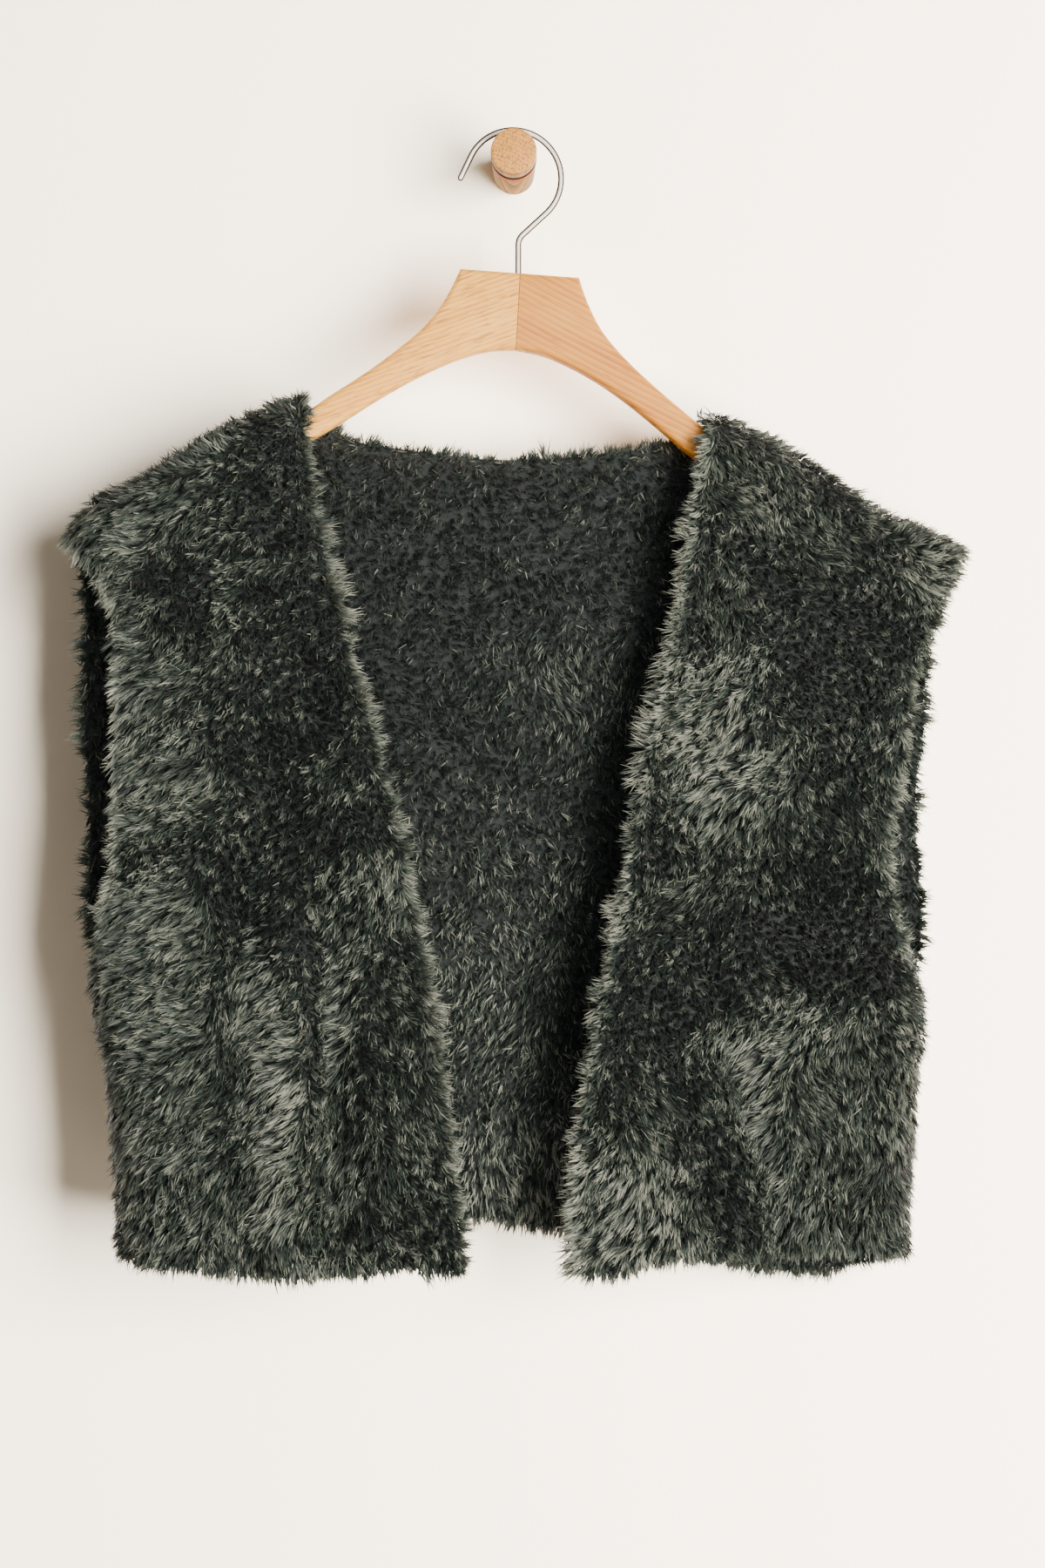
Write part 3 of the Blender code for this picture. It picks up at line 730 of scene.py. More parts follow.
@dataclass(frozen=True)
class Nap:
    """The pile of one face: how it lies where no patch says otherwise, and the patches.

    patches are rows of NapPatch's values, and plain is the weight of lying otherwise. flecks is the
    share of tufts in upright pile that are pale, as painted glints, and mottle how much broad noise
    shades it. light is the paleness where no patch lies: painted sheen and shade, as in NapPatch.
    """

    lean: float = -90.0
    lift: float = 62.0
    light: float = 0.215
    patches: Rows = ()
    seed: int = 1
    flecks: float = 0.18
    mottle: float = 0.3
    plain: float = 0.35
    lift_limits: Pair = (8, 85)
    least_light: float = 0.03
    noise: NapNoise = NapNoise()

    def read(self, x: Array, z: Array) -> tuple[Array, Array, Array]:
        """Lean, lift and light at each place.

        They are means over the plain nap and the patches, weighted by the patches' bells, whose
        outlines soft noise makes ragged. Directions are averaged as vectors, and broad soft noise
        wanders them.

        Args:
            x: places along the plane in millimetres.
            z: heights in millimetres.

        Returns:
            Lean in radians, lift in radians and light.
        """
        ragged_x = x + waver(x, z, self.noise.warp_x, self.seed)
        ragged_z = z + waver(x, z, self.noise.warp_z, self.seed)
        weight = np.zeros_like(x)
        total = np.zeros((4, len(x)))
        patches = [NapPatch(*row) for row in self.patches]
        shares = [patch.share(ragged_x, ragged_z) for patch in patches]
        for source, share in zip((self, *patches), (np.full_like(x, self.plain), *shares)):
            lean = math.radians(source.lean)
            weight += share
            total += np.outer((math.cos(lean), math.sin(lean), source.lift, source.light), share)
        lean = np.arctan2(total[1], total[0]) + waver(x, z, self.noise.lean, self.seed)
        lift = total[2] / weight + waver(x, z, self.noise.lift, self.seed)
        light = total[3] / weight + waver(x, z, self.noise.light, self.seed)
        lift = np.radians(np.clip(lift, *self.lift_limits))
        return lean, lift, np.clip(light, self.least_light, 1.0)


@dataclass(frozen=True)
class Cloth:
    """Sizes of the furred cloth, shared by all panels, in millimetres.

    The underarm's t and the t over which the armhole opens above it are shares of the height.
    roll_rows and roll_columns are the shares of a grid's steps that each rolled seam takes.
    """

    half_wall: float = 5.5
    half_backing: float = 0.9
    edge_inset: float = 5.0
    shoulder_roll: float = 14.0
    seam_half_gap: float = 0.15
    underarm_t: float = 0.41
    underarm_opening_t: float = 0.09
    fold_end_stretch: float = 0.6
    combed_strip: float = 15.0
    backing_grid: tuple[int, int] = (46, 64)
    roll_rows: float = 0.1
    roll_columns: float = 0.12


CLOTH = Cloth()


@dataclass(frozen=True)
class Panel:
    """One cut piece of the vest, as a surface of s (across) and t (hem to shoulder).

    x and z are blended from its four edges, and the depth is its stand-off from the hanging plane
    plus its folds. It rolls back to that plane at its seams as a quarter of an ellipse.

    side is -1 before the plane and 1 behind it. gaps are rows of t and the stand-offs at the start,
    the middle and the end, folds are rows of Fold's values, and a roll of 0 leaves the start edge
    free. head_roll says by s where the top is a seam. edge_light is the paleness that the combed
    strips add along start, end, foot and head, and bold_start tells by height how full the start
    edge's tufts are. flat is the cloth's cut in metres, and rests_on names what carries it.
    Neither flat nor rests_on is used.
    """

    name: str
    node: str
    side: int
    start: Outline
    end: Outline
    foot: Outline
    head: Outline
    gaps: Rows
    folds: Rows
    start_roll: float
    end_roll: float
    # edge_light is painted sheen: the paleness that combed strips add by the free edges
    edge_light: tuple[float, float, float, float]
    flat: Pair
    flat_area: float
    rests_on: tuple[str, ...]
    head_roll: Rows = ((0.0, 1.0), (1.0, 1.0))
    bold_start: Rows = ((-640.0, 0.2), (-150.0, 0.2))

    @property
    def width(self) -> float:
        """Width along the hem in millimetres."""
        return abs(self.foot.rows[-1][1] - self.foot.rows[0][1])

    @property
    def height(self) -> float:
        """Height from hem to neck in millimetres."""
        return max(row[2] for row in self.head.rows) - self.foot.rows[0][2]

    def below_armhole(self, t: Array) -> Array:
        """1 below the underarm, falling to 0 where the armhole is fully open."""
        return smooth_step(t, CLOTH.underarm_t + CLOTH.underarm_opening_t, CLOTH.underarm_t)

    def rolled(self, s: Array) -> Array:
        """1 where the top edge is a shoulder seam and 0 where it is free."""
        table = np.array(self.head_roll)
        return np.interp(s, table[:, 0], table[:, 1])

    def middle(self, s: Array, t: Array) -> Array:
        """Middle surface of the cloth.

        A Coons patch of the four edges gives x and z. The depth is a parabola through the table's
        three stand-offs, plus the folds' bells, times the quarter turns at the seams.

        Args:
            s: places across, 0 to 1, of any shape.
            t: places up, of the same shape.

        Returns:
            Points (..., 3) in the hanging plane's frame.
        """
        below = self.below_armhole(t)
        start, end = self.start.at(t), self.end.at(t)
        if self.start_roll:
            start[..., 0] -= np.sign(self.start.rows[0][1]) * CLOTH.half_wall * below
        end[..., 0] -= np.sign(self.end.rows[0][1]) * CLOTH.half_wall * below
        foot, head = self.foot.at(s), self.head.at(s)
        ends = {key: line.at(np.array(place)) for key, line, place in (
            ("f0", self.foot, 0.0), ("f1", self.foot, 1.0),
            ("h0", self.head, 0.0), ("h1", self.head, 1.0))}
        u, v = s[..., None], t[..., None]
        flat = ((1 - u) * start + u * end + (1 - v) * foot + v * head
                - (1 - u) * (1 - v) * ends["f0"] - u * (1 - v) * ends["f1"]
                - (1 - u) * v * ends["h0"] - u * v * ends["h1"])
        x, z = flat[..., 0], flat[..., 1]
        table = np.array(self.gaps)
        near, centre, far = (smooth_read(table[:, 0], table[:, i], t) for i in (1, 2, 3))
        depth = (near * (1 - s) * (1 - 2 * s) + 4 * centre * s * (1 - s) + far * s * (2 * s - 1)
                 + self.fold_depth(x, z))
        turn = self.quarter(s, 1 - self.end_roll / self.width)
        if self.start_roll:
            turn = np.minimum(turn, self.quarter(1 - s, 1 - self.start_roll / self.width))
        depth = depth * (1 - below * (1 - turn))
        top = self.quarter(t, 1 - CLOTH.shoulder_roll / self.height)
        depth = depth * (1 - self.rolled(s) * (1 - top))
        y = self.side * np.maximum(depth, CLOTH.seam_half_gap)
        return np.stack([x, y, z], axis=-1)

    @staticmethod
    def quarter(place: Array, start: float) -> Array:
        """1 up to start, then falling to 0 at place 1 as a quarter of an ellipse."""
        u = np.clip((place - start) / (1 - start), 0.0, 1.0)
        return np.sqrt(np.clip(1 - u * u, 0.0, 1.0))

    def fold_depth(self, x: Array, z: Array) -> Array:
        """Sum of the folds: a bell across each fold's line, running out softly past its ends.

        Args:
            x: places along the plane in millimetres.
            z: heights in millimetres.

        Returns:
            Array shaped as x, in millimetres.
        """
        total = np.zeros_like(x)
        for fold in (Fold(*row) for row in self.folds):
            run = np.array([fold.x_foot - fold.x_top, fold.z_foot - fold.z_top])
            length = float(np.hypot(*run))
            along = ((x - fold.x_top) * run[0] + (z - fold.z_top) * run[1]) / length
            aside = ((x - fold.x_top) * run[1] - (z - fold.z_top) * run[0]) / length
            beyond = along - np.clip(along, 0.0, length)
            distance = np.hypot(aside, CLOTH.fold_end_stretch * beyond)
            total += fold.depth * np.exp(-(distance / fold.half_width) ** 2)
        return total

    def places(self, u: Array, v: Array, inset: float) -> tuple[Array, Array]:
        """Turn unit places u, v into s, t that stop short of the free edges by an inset.

        Steps crowd towards the rolled seams, so that the quarter turns are smooth.

        Args:
            u: 0 to 1 across.
            v: 0 to 1 up.
            inset: distance in millimetres that is kept from each free edge.

        Returns:
            s and t.
        """
        share = CLOTH.shoulder_roll / self.height
        steps = CLOTH.roll_rows
        top = 1 - steps
        v = np.where(v > top, 1 - share + share * np.sin((v - top) / steps * math.pi / 2),
                     v / top * (1 - share))
        end_share = self.end_roll / self.width
        steps = CLOTH.roll_columns
        end = 1 - steps
        u_high = 1 - end_share + end_share * np.sin((u - end) / steps * math.pi / 2)
        if self.start_roll:
            start_share = self.start_roll / self.width
            u_low = start_share * (1 - np.cos(u / steps * math.pi / 2))
            plain = start_share + (u - steps) / (1 - 2 * steps) * (1 - end_share - start_share)
            u = np.where(u > end, u_high, np.where(u < steps, u_low, plain))
        else:
            u = np.where(u > end, u_high, u / end * (1 - end_share))
        below = self.below_armhole(v)
        low = inset / self.width * ((1 - below) if self.start_roll else 1.0)
        high = 1 - inset / self.width * (1 - below)
        s = low + u * (high - low)
        foot = inset / self.height
        top = 1 - foot * (1 - self.rolled(s))
        return s, foot + v * (top - foot)

    def grid(self, columns: int, rows: int, inset: float) -> tuple[Array, Array]:
        """Middle surface and outward unit normals on a grid, rows along t.

        The normals are crosses of the grid's own directions, and flat in the plane at the seams.

        Args:
            columns: points across.
            rows: points up.
            inset: distance in millimetres that is kept from each free edge.

        Returns:
            Points and normals, both (rows, columns, 3).
        """
        u, v = np.meshgrid(np.linspace(0, 1, columns), np.linspace(0, 1, rows))
        points = self.middle(*self.places(u, v, inset))
        normals = unit(np.cross(np.gradient(points, axis=1), np.gradient(points, axis=0)))
        facing = np.sign(normals[..., 1].sum()) * self.side
        normals = normals * facing
        s, t = self.places(u, v, inset)
        seam = np.maximum((s >= s.max() - 1e-6) * self.below_armhole(t),
                          (t >= 1 - 1e-6) * self.rolled(s))
        if self.start_roll:
            seam = np.maximum(seam, (s <= s.min() + 1e-6) * self.below_armhole(t))
        normals[..., 1] *= 1 - seam
        return points, unit(normals)

    def edge_pull(self, points: Array, s: Array,
                  t: Array) -> tuple[Array, Array, Array]:
        """How near each grid point is to a free edge, the way out of the cloth and the painted
        sheen there.

        Nearness falls from 1 at the edge to 0 at the reach of the combed strip, for each of the
        four edges where it is free. The ways out are the grid's own directions, weighted by it.

        Args:
            points: the panel's grid.
            s: places across.
            t: places up.

        Returns:
            Nearness, the outward vectors, as long as the nearness, and the painted sheen added as
            paleness.
        """
        across = unit(np.gradient(points, axis=1))
        up = unit(np.gradient(points, axis=0))
        open_side = 1 - self.below_armhole(t)
        parts = (
            (s * self.width, open_side if self.start_roll else 1.0, -across),
            ((1 - s) * self.width, open_side, across),
            (t * self.height, 1.0, -up),
            ((1 - t) * self.height, 1 - self.rolled(s), up),
        )
        nearness = np.zeros_like(s)
        glow = np.zeros_like(s)
        outward = np.zeros_like(points)
        for (distance, free, way), light in zip(parts, self.edge_light):
            share = smooth_step(distance, CLOTH.combed_strip, CLOTH.edge_inset) * free
            nearness = np.maximum(nearness, share)
            glow = np.maximum(glow, share * light)
            outward += share[..., None] * way
        return nearness, outward, glow

    def backing(self, finish: Material) -> Object:
        """The thin knitted backing: both faces half its thickness off the middle, and a rim.

        Args:
            finish: the backing's material.

        Returns:
            The piece.
        """
        points, normals = self.grid(*CLOTH.backing_grid, CLOTH.edge_inset)
        faces_of = [points + sign * CLOTH.half_backing * normals for sign in (1, -1)]
        for face in faces_of:
            face[..., 1] = self.side * np.maximum(self.side * face[..., 1], CLOTH.seam_half_gap)
        rows, columns, _ = points.shape
        count = rows * columns
        index = np.arange(count).reshape(rows, columns)
        quads = np.stack([index[:-1, :-1], index[:-1, 1:], index[1:, 1:], index[1:, :-1]],
                         axis=-1).reshape(-1, 4)
        rim = np.concatenate([index[0], index[1:, -1], index[-1, -2::-1], index[-2:0:-1, 0]])
        after = np.roll(rim, -1)
        strip = np.stack([after, rim, rim + count, after + count], axis=-1)
        faces = np.concatenate([quads, quads[:, ::-1] + count, strip])
        mesh = mesh_from(self.name + "_backing", PLANE.world(
            np.concatenate([face.reshape(-1, 3) for face in faces_of])), faces)
        close_mesh(mesh)
        return add_piece(self.name + "_backing", mesh, finish)


# Pile


@dataclass(frozen=True)
class Bend:
    """How steeply a part of a lock rises: a share of the lift, an added angle and its spread."""

    share: float
    added: float
    spread: float
    least: float
    most: float = 1.5

    def angle(self, lift: Array, draw: np.random.Generator) -> Array:
        """Angles from the cloth in radians.

        Args:
            lift: (n,) angles at which the pile lies.
            draw: the random draw.

        Returns:
            Column (n, 1).
        """
        angle = lift * self.share + self.added + self.spread * draw.standard_normal(len(lift))
        return np.clip(angle, self.least, self.most)[:, None]


@dataclass(frozen=True)
class LockShape:
    """Sizes of one lock of fibres, in millimetres, and how locks gather into tufts.

    Lengths and widths vary by their spreads, and roll is the spread of the turn about the lock's
    own length. The shares of the tip's paleness at the root and the middle are painted shade, which
    darkens each lock towards its root. Pile that lies lower than combed_below, in radians, has long
    narrow tufts along its lean.
    """

    length: float = 8.0
    width: float = 0.92
    root_share: float = 0.34
    spread: float = 0.30
    width_spread: float = 0.35
    root_bend: Bend = Bend(share=1.15, added=0.45, spread=0.15, least=0.2)
    tip_bend: Bend = Bend(share=0.85, added=-0.05, spread=0.16, least=-0.1)
    roll: float = 0.5
    painted_root_shade: float = 0.05
    painted_middle_shade: float = 0.6
    tuft_mm: Pair = (4.4, 4.0)
    combed_tuft_mm: Pair = (8.0, 3.2)
    gather: Pair = (0.66, 0.66)
    combed_gather: Pair = (0.62, 0.72)
    combed_below: float = 0.72


class LockMesh:
    """Locks of pile gathered as whole arrays and made one joined mesh.

    Each lock is two triangles: a root that stands up steeply and a tapered tip that bends over.
    """

    def __init__(self, seed: int) -> None:
        """Start an empty gathering with its own random draw.

        Args:
            seed: number of the draw.
        """
        self.random = np.random.default_rng(seed)
        self.points: list[Array] = []
        self.tones: list[Array] = []

    def grow(self, roots: Array, normals: Array, lean: Array, lift: Array,
             light: Array, shape: LockShape, pull: Array | float = 0.0,
             stretch: Array | float = 1.0) -> None:
        """Grow a lock from each root.

        The root segment rises at more than the lift and the tip at less, so that the lock bends.
        The tip is then moved by the pull and the middle by a third of it. Roll about the lock's own
        length is random.

        Args:
            roots: (n, 3) points on the backing, in millimetres.
            normals: (n, 3) outward unit normals there.
            lean: (n, 3) unit directions along the cloth in which the tips point.
            lift: (n,) angles from the cloth, in radians.
            light: (n,) paleness.
            shape: the locks' sizes.
            pull: (n, 3) way in which each tip is drawn to its tuft's middle, in millimetres.
            stretch: (n,) each lock's length as a share of the shape's.
        """
        n = len(roots)
        draw = self.random
        length = shape.length * (1 + shape.spread * draw.uniform(-1, 1, n)) * stretch
        width = shape.width * (1 + shape.width_spread * draw.uniform(-1, 1, n))
        rise = shape.root_bend.angle(lift, draw)
        fall = shape.tip_bend.angle(lift, draw)
        first = np.cos(rise) * lean + np.sin(rise) * normals
        last = np.cos(fall) * lean + np.sin(fall) * normals
        aside = np.cross(normals, lean)
        roll = (shape.roll * draw.standard_normal(n))[:, None]
        blade = np.cos(roll) * aside + np.sin(roll) * np.cross(last, aside)
        middle = roots + first * (shape.root_share * length)[:, None] + pull / 3
        tip = middle + last * ((1 - shape.root_share) * length)[:, None] + 2 * pull / 3
        half = blade * (width / 2)[:, None]
        self.points.append(np.stack([roots, middle - half, middle + half, tip], axis=1))
        # The root and middle are darker than the tip: painted shade deep in the pile
        painted_root_shade, painted_middle_shade = shape.painted_root_shade * light, shape.painted_middle_shade * light
        self.tones.append(np.stack([painted_root_shade, painted_middle_shade, painted_middle_shade, light], axis=1))

    def piece(self, name: str, finish: Material) -> Object:
        """Join the locks into one piece with their tones and a map that gives each its own cell.

        Locks are ordered by height in bands of 2 mm, then across, so that near ones share cells.

        Args:
            name: the piece's name.
            finish: the pile's material.

        Returns:
            The piece.
        """
        points = np.concatenate(self.points)
        tones = np.concatenate(self.tones)
        order = np.lexsort((points[:, 0, 0], np.round(points[:, 0, 2] / 2.0)))
        points, tones = points[order], tones[order]
        n = len(points)
        first = 4 * np.arange(n)[:, None]
        faces = np.stack([first + (0, 1, 2), first + (3, 2, 1)], axis=1).reshape(-1, 3)
        mesh = mesh_from(name, PLANE.world(points.reshape(-1, 3)), faces)
        tone = mesh.attributes.new("tone", "FLOAT", "POINT")
        tone.data.foreach_set("value", tones.reshape(-1).astype(np.float32))
        side = math.ceil(math.sqrt(n))
        cell = np.stack([np.arange(n) % side, np.arange(n) // side], axis=-1) / side
        corner = np.array([(0.5, 0.1), (0.1, 0.45), (0.9, 0.45), (0.5, 0.9)]) / side
        place = (cell[:, None] + corner[None]).reshape(-1, 2)[faces.ravel()]
        layer = mesh.uv_layers.new(name="OFBake")
        layer.uv.foreach_set("vector", place.ravel().astype(np.float32))
        log.info("%s: %d locks", name, n)
        return add_piece(name, mesh, finish)


@dataclass(frozen=True)
class Scatter:
    """How far locks stray from the nap.

    A pair is the amount in combed pile and what upright pile adds to it, as the lift rises over
    the upright span. Leans and lifts are in radians, tones are shares of the paleness, and stretch
    is the length. A tuft's crown is lighter than its rim: painted shade, which the rim's shade
    darkens by the square of the distance from its middle, counted in cells. Pale tufts and pale
    locks in upright pile, by pale_tuft and the fleck shares, are painted glints. combed_blur blurs
    where combed pile begins, and sector is the step in which its lean is read for the shape of its
    tufts.
    """

    upright: Pair = (0.35, 1.1)
    combed_blur: float = 0.06
    sector: float = math.pi / 6
    tuft_lean: Pair = (0.5, 1.0)
    lock_lean: Pair = (0.13, 0.35)
    tuft_lift: Pair = (0.25, 0.3)
    mottle: Pair = (0.3, 0.7)
    mottle_noise: Rows = ((1.0, 15.0, 5),)
    tuft_tone: Pair = (0.28, 0.8)
    lock_tone: Pair = (0.16, 0.4)
    stretch: Pair = (1.08, -0.22)
    crown: float = 1.2
    rim_shade: float = 2.125
    rim_reach: float = 0.8
    pale_tuft: float = 0.3
    fewest_flecks: float = 0.03
    fleck_share: float = 0.4
    fleck_light: Pair = (0.2, 0.6)

    def lean(self, disorder: Array, tuft: Array,
             draw: np.random.Generator) -> Array:
        """The turn that each lock adds to the nap's lean: its tuft's and its own.

        Args:
            disorder: (n,) 0 in combed pile to 1 in upright pile.
            tuft: (n,) the tuft's trait, 0 to 1.
            draw: the random draw.

        Returns:
            Array (n,) in radians.
        """
        own = self.at(self.lock_lean, disorder) * draw.standard_normal(len(disorder))
        return self.at(self.tuft_lean, disorder) * (tuft - 0.5) + own

    def shade(self, light: Array, disorder: Array, tuft: Array, away: Array,
              nap: Nap, draw: np.random.Generator) -> Array:
        """Shade each lock by its tuft, its own draw and its distance from the tuft's middle.

        The darker rim is painted shade, and pale tufts and flecks are painted glints.

        Args:
            light: (n,) the nap's light.
            disorder: (n,) 0 in combed pile to 1 in upright pile.
            tuft: (n,) the tuft's trait, 0 to 1.
            away: (n,) distance from the tuft's middle.
            nap: the nap, for its share of pale tufts.
            draw: the random draw.

        Returns:
            Light (n,).
        """
        count = len(light)
        light = light * (1 + self.at(self.tuft_tone, disorder) * (tuft - 0.5))
        light = light * (1 + self.at(self.lock_tone, disorder) * draw.standard_normal(count))
        # Painted shade: darker towards the tuft's rim
        light = light * (self.crown - self.rim_shade * np.clip(away, 0, self.rim_reach) ** 2)
        # Painted glints: some tufts and locks of upright pile are paler
        light = light + self.pale_tuft * disorder * (tuft > 1 - nap.flecks)
        chance = self.fewest_flecks + self.fleck_share * nap.flecks * disorder
        fleck = draw.uniform(0, 1, count) < chance
        paler = light + draw.uniform(*self.fleck_light, count)
        return np.clip(np.where(fleck, paler, light), 0.02, 1.0)

    @staticmethod
    def at(pair: Pair, disorder: Array) -> Array:
        """A pair's first amount plus its second times the disorder."""
        return pair[0] + pair[1] * disorder


SCATTER = Scatter()


@dataclass(frozen=True)
class Combing:
    """How the pile of the strips beside the free edges is combed outwards.

    The strip's outline is ragged: a mean and a noise. out is the outward way's weight against the
    nap's lean, flatten the share by which the lift falls, and glow the plain and the bold part of
    the painted sheen that the strip adds as paleness.
    """

    ragged: float = 0.75
    ragged_noise: Rows = ((0.8, 9.0, 9),)
    out: float = 2.2
    flatten: float = 0.45
    glow: Pair = (0.8, 0.6)


COMBING = Combing()


@dataclass(frozen=True)
class PileFace:
    """The pile of one face of a panel."""

    panel: Panel
    outside: bool
    nap: Nap
    locks: int
    shape: LockShape
    seed: int
    grid: tuple[int, int] = (130, 190)

    def grow(self, gathered: LockMesh) -> None:
        """Scatter the locks evenly over the face and grow each by the nap there.

        Cells of a fine grid are drawn in proportion to their area, and a root is placed in its cell
        by blending its four corners. Locks near one tuft's centre lean and shade alike.

        Args:
            gathered: where the locks are collected.
        """
        draw = gathered.random
        columns, rows = self.grid
        points, normals = self.panel.grid(columns, rows, CLOTH.edge_inset)
        u, v = np.meshgrid(np.linspace(0, 1, columns), np.linspace(0, 1, rows))
        s, t = self.panel.places(u, v, CLOTH.edge_inset)
        nearness, outward, glow = self.panel.edge_pull(points, s, t)
        normals = normals * (1.0 if self.outside else -1.0)
        area = np.linalg.norm(np.cross(points[:-1, 1:] - points[:-1, :-1],
                                       points[1:, :-1] - points[:-1, :-1]), axis=-1)
        chance = area.ravel() / area.sum()
        cells = draw.choice(len(chance), self.locks, p=chance)
        row, column = np.divmod(cells, area.shape[1])
        a, b = draw.uniform(0, 1, (2, self.locks, 1))

        def blend(grid: Array) -> Array:
            """Values between the four corners of each root's cell.

            Args:
                grid: (rows, columns, k) values at the grid's points.

            Returns:
                Array (n, k).
            """
            return ((1 - a) * (1 - b) * grid[row, column] + a * (1 - b) * grid[row, column + 1]
                    + (1 - a) * b * grid[row + 1, column] + a * b * grid[row + 1, column + 1])

        normal = unit(blend(normals))
        root = blend(points) + normal * CLOTH.half_backing
        x, z = root[:, 0], root[:, 2]
        lean, lift, light, pull, stretch = self.lie(x, z, draw)
        direction = np.stack([np.cos(lean), np.zeros_like(lean), np.sin(lean)], axis=-1)
        ragged = COMBING.ragged + waver(x, z, COMBING.ragged_noise, self.seed)
        near = np.clip(blend(nearness[..., None])[:, 0] * ragged, 0.0, 1.0)
        direction = direction + COMBING.out * near[:, None] * blend(outward)
        lift = lift * (1 - COMBING.flatten * near)
        bold = np.interp(z, *np.array(self.panel.bold_start).T)
        plain_glow, bold_glow = COMBING.glow
        # Painted sheen along the combed strips by the free edges, added to the paleness
        rim = blend(glow[..., None])[:, 0] * ragged * (plain_glow + bold_glow * bold)
        light = np.clip(light + rim, 0.02, 1.0)
        direction = unit(direction - normal * np.sum(direction * normal, axis=-1, keepdims=True))
        gathered.grow(root, normal, direction, lift, light, self.shape, pull, stretch)

    def lie(self, x: Array, z: Array,
            draw: np.random.Generator) -> tuple[Array, ...]:
        """How each lock lies: the nap's reading, gathered into tufts.

        Tufts are near square where the pile stands and long and narrow along its lean where it
        lies. All locks of a tuft turn, lift and shade by the tuft's own draw and bend towards its
        middle. Those at its rim are darker, as painted shade. Standing pile is less orderly, and
        some of its tufts and tips are pale, as painted glints.

        Args:
            x: (n,) the roots' places along the plane, in millimetres.
            z: (n,) their heights.
            draw: the random draw.

        Returns:
            Lean, lift, light, the pull towards the tuft's middle and the stretch.
        """
        count = len(x)
        lean, lift, light = self.nap.read(x, z)
        if self.outside == (self.panel.side > 0):
            lean = math.pi - lean
        blur = SCATTER.combed_blur * draw.standard_normal(count)
        combed = lift + blur < self.shape.combed_below
        sector = np.where(combed, np.round(lean / SCATTER.sector), 0)
        cos, sin = np.cos(sector * SCATTER.sector), np.sin(sector * SCATTER.sector)
        cell = np.where(combed[:, None], self.shape.combed_tuft_mm, self.shape.tuft_mm)
        gather = np.where(combed[:, None], self.shape.combed_gather, self.shape.gather)
        away, off, traits = self.join((x * cos + z * sin) / cell[:, 0],
                                      (z * cos - x * sin) / cell[:, 1], sector.astype(int))
        off = off * cell * gather
        disorder = smooth_step(lift, *SCATTER.upright)
        lean = lean + SCATTER.lean(disorder, traits[:, 0], draw)
        lift = lift + SCATTER.at(SCATTER.tuft_lift, disorder) * (traits[:, 1] - 0.5)
        mottle = self.nap.mottle * SCATTER.at(SCATTER.mottle, disorder)
        light = light * (1 + mottle * waver(x, z, SCATTER.mottle_noise, self.seed))
        light = SCATTER.shade(light, disorder, traits[:, 2], away, self.nap, draw)
        pull = np.zeros((count, 3))
        pull[:, 0] = off[:, 0] * cos - off[:, 1] * sin
        pull[:, 2] = off[:, 0] * sin + off[:, 1] * cos
        return lean, lift, light, pull, SCATTER.at(SCATTER.stretch, disorder)

    def join(self, u: Array, v: Array,
             sector: Array) -> tuple[Array, Array, Array]:
        """Find each lock's tuft: the nearest of the jittered centres of a lattice.

        Every cell of the lattice has one centre, put in it by the cell's own draw, and the nine
        cells about the lock are searched. Each sector reads the draws 31 cells further on.

        Args:
            u: (n,) places across the lattice, in cells.
            v: (n,) places up it.
            sector: (n,) number of the lean's step.

        Returns:
            Distance to the centre, the way there (n, 2), both in cells, and the tuft's three
            traits (n, 3), each 0 to 1.
        """
        table = np.random.default_rng(self.seed).uniform(0, 1, (LATTICE, LATTICE, 5))
        best = np.full(len(u), np.inf)
        off = np.zeros((len(u), 2))
        traits = np.zeros((len(u), 3))
        for step_u in (-1, 0, 1):
            for step_v in (-1, 0, 1):
                i, j = np.floor(u).astype(int) + step_u, np.floor(v).astype(int) + step_v
                entry = table[(i + 31 * sector) % LATTICE, j % LATTICE]
                to_u, to_v = i + entry[:, 0] - u, j + entry[:, 1] - v
                distance = np.hypot(to_u, to_v)
                nearer = distance < best
                best = np.where(nearer, distance, best)
                off[nearer] = np.stack([to_u, to_v], axis=-1)[nearer]
                traits[nearer] = entry[nearer, 2:]
        return best, off, traits


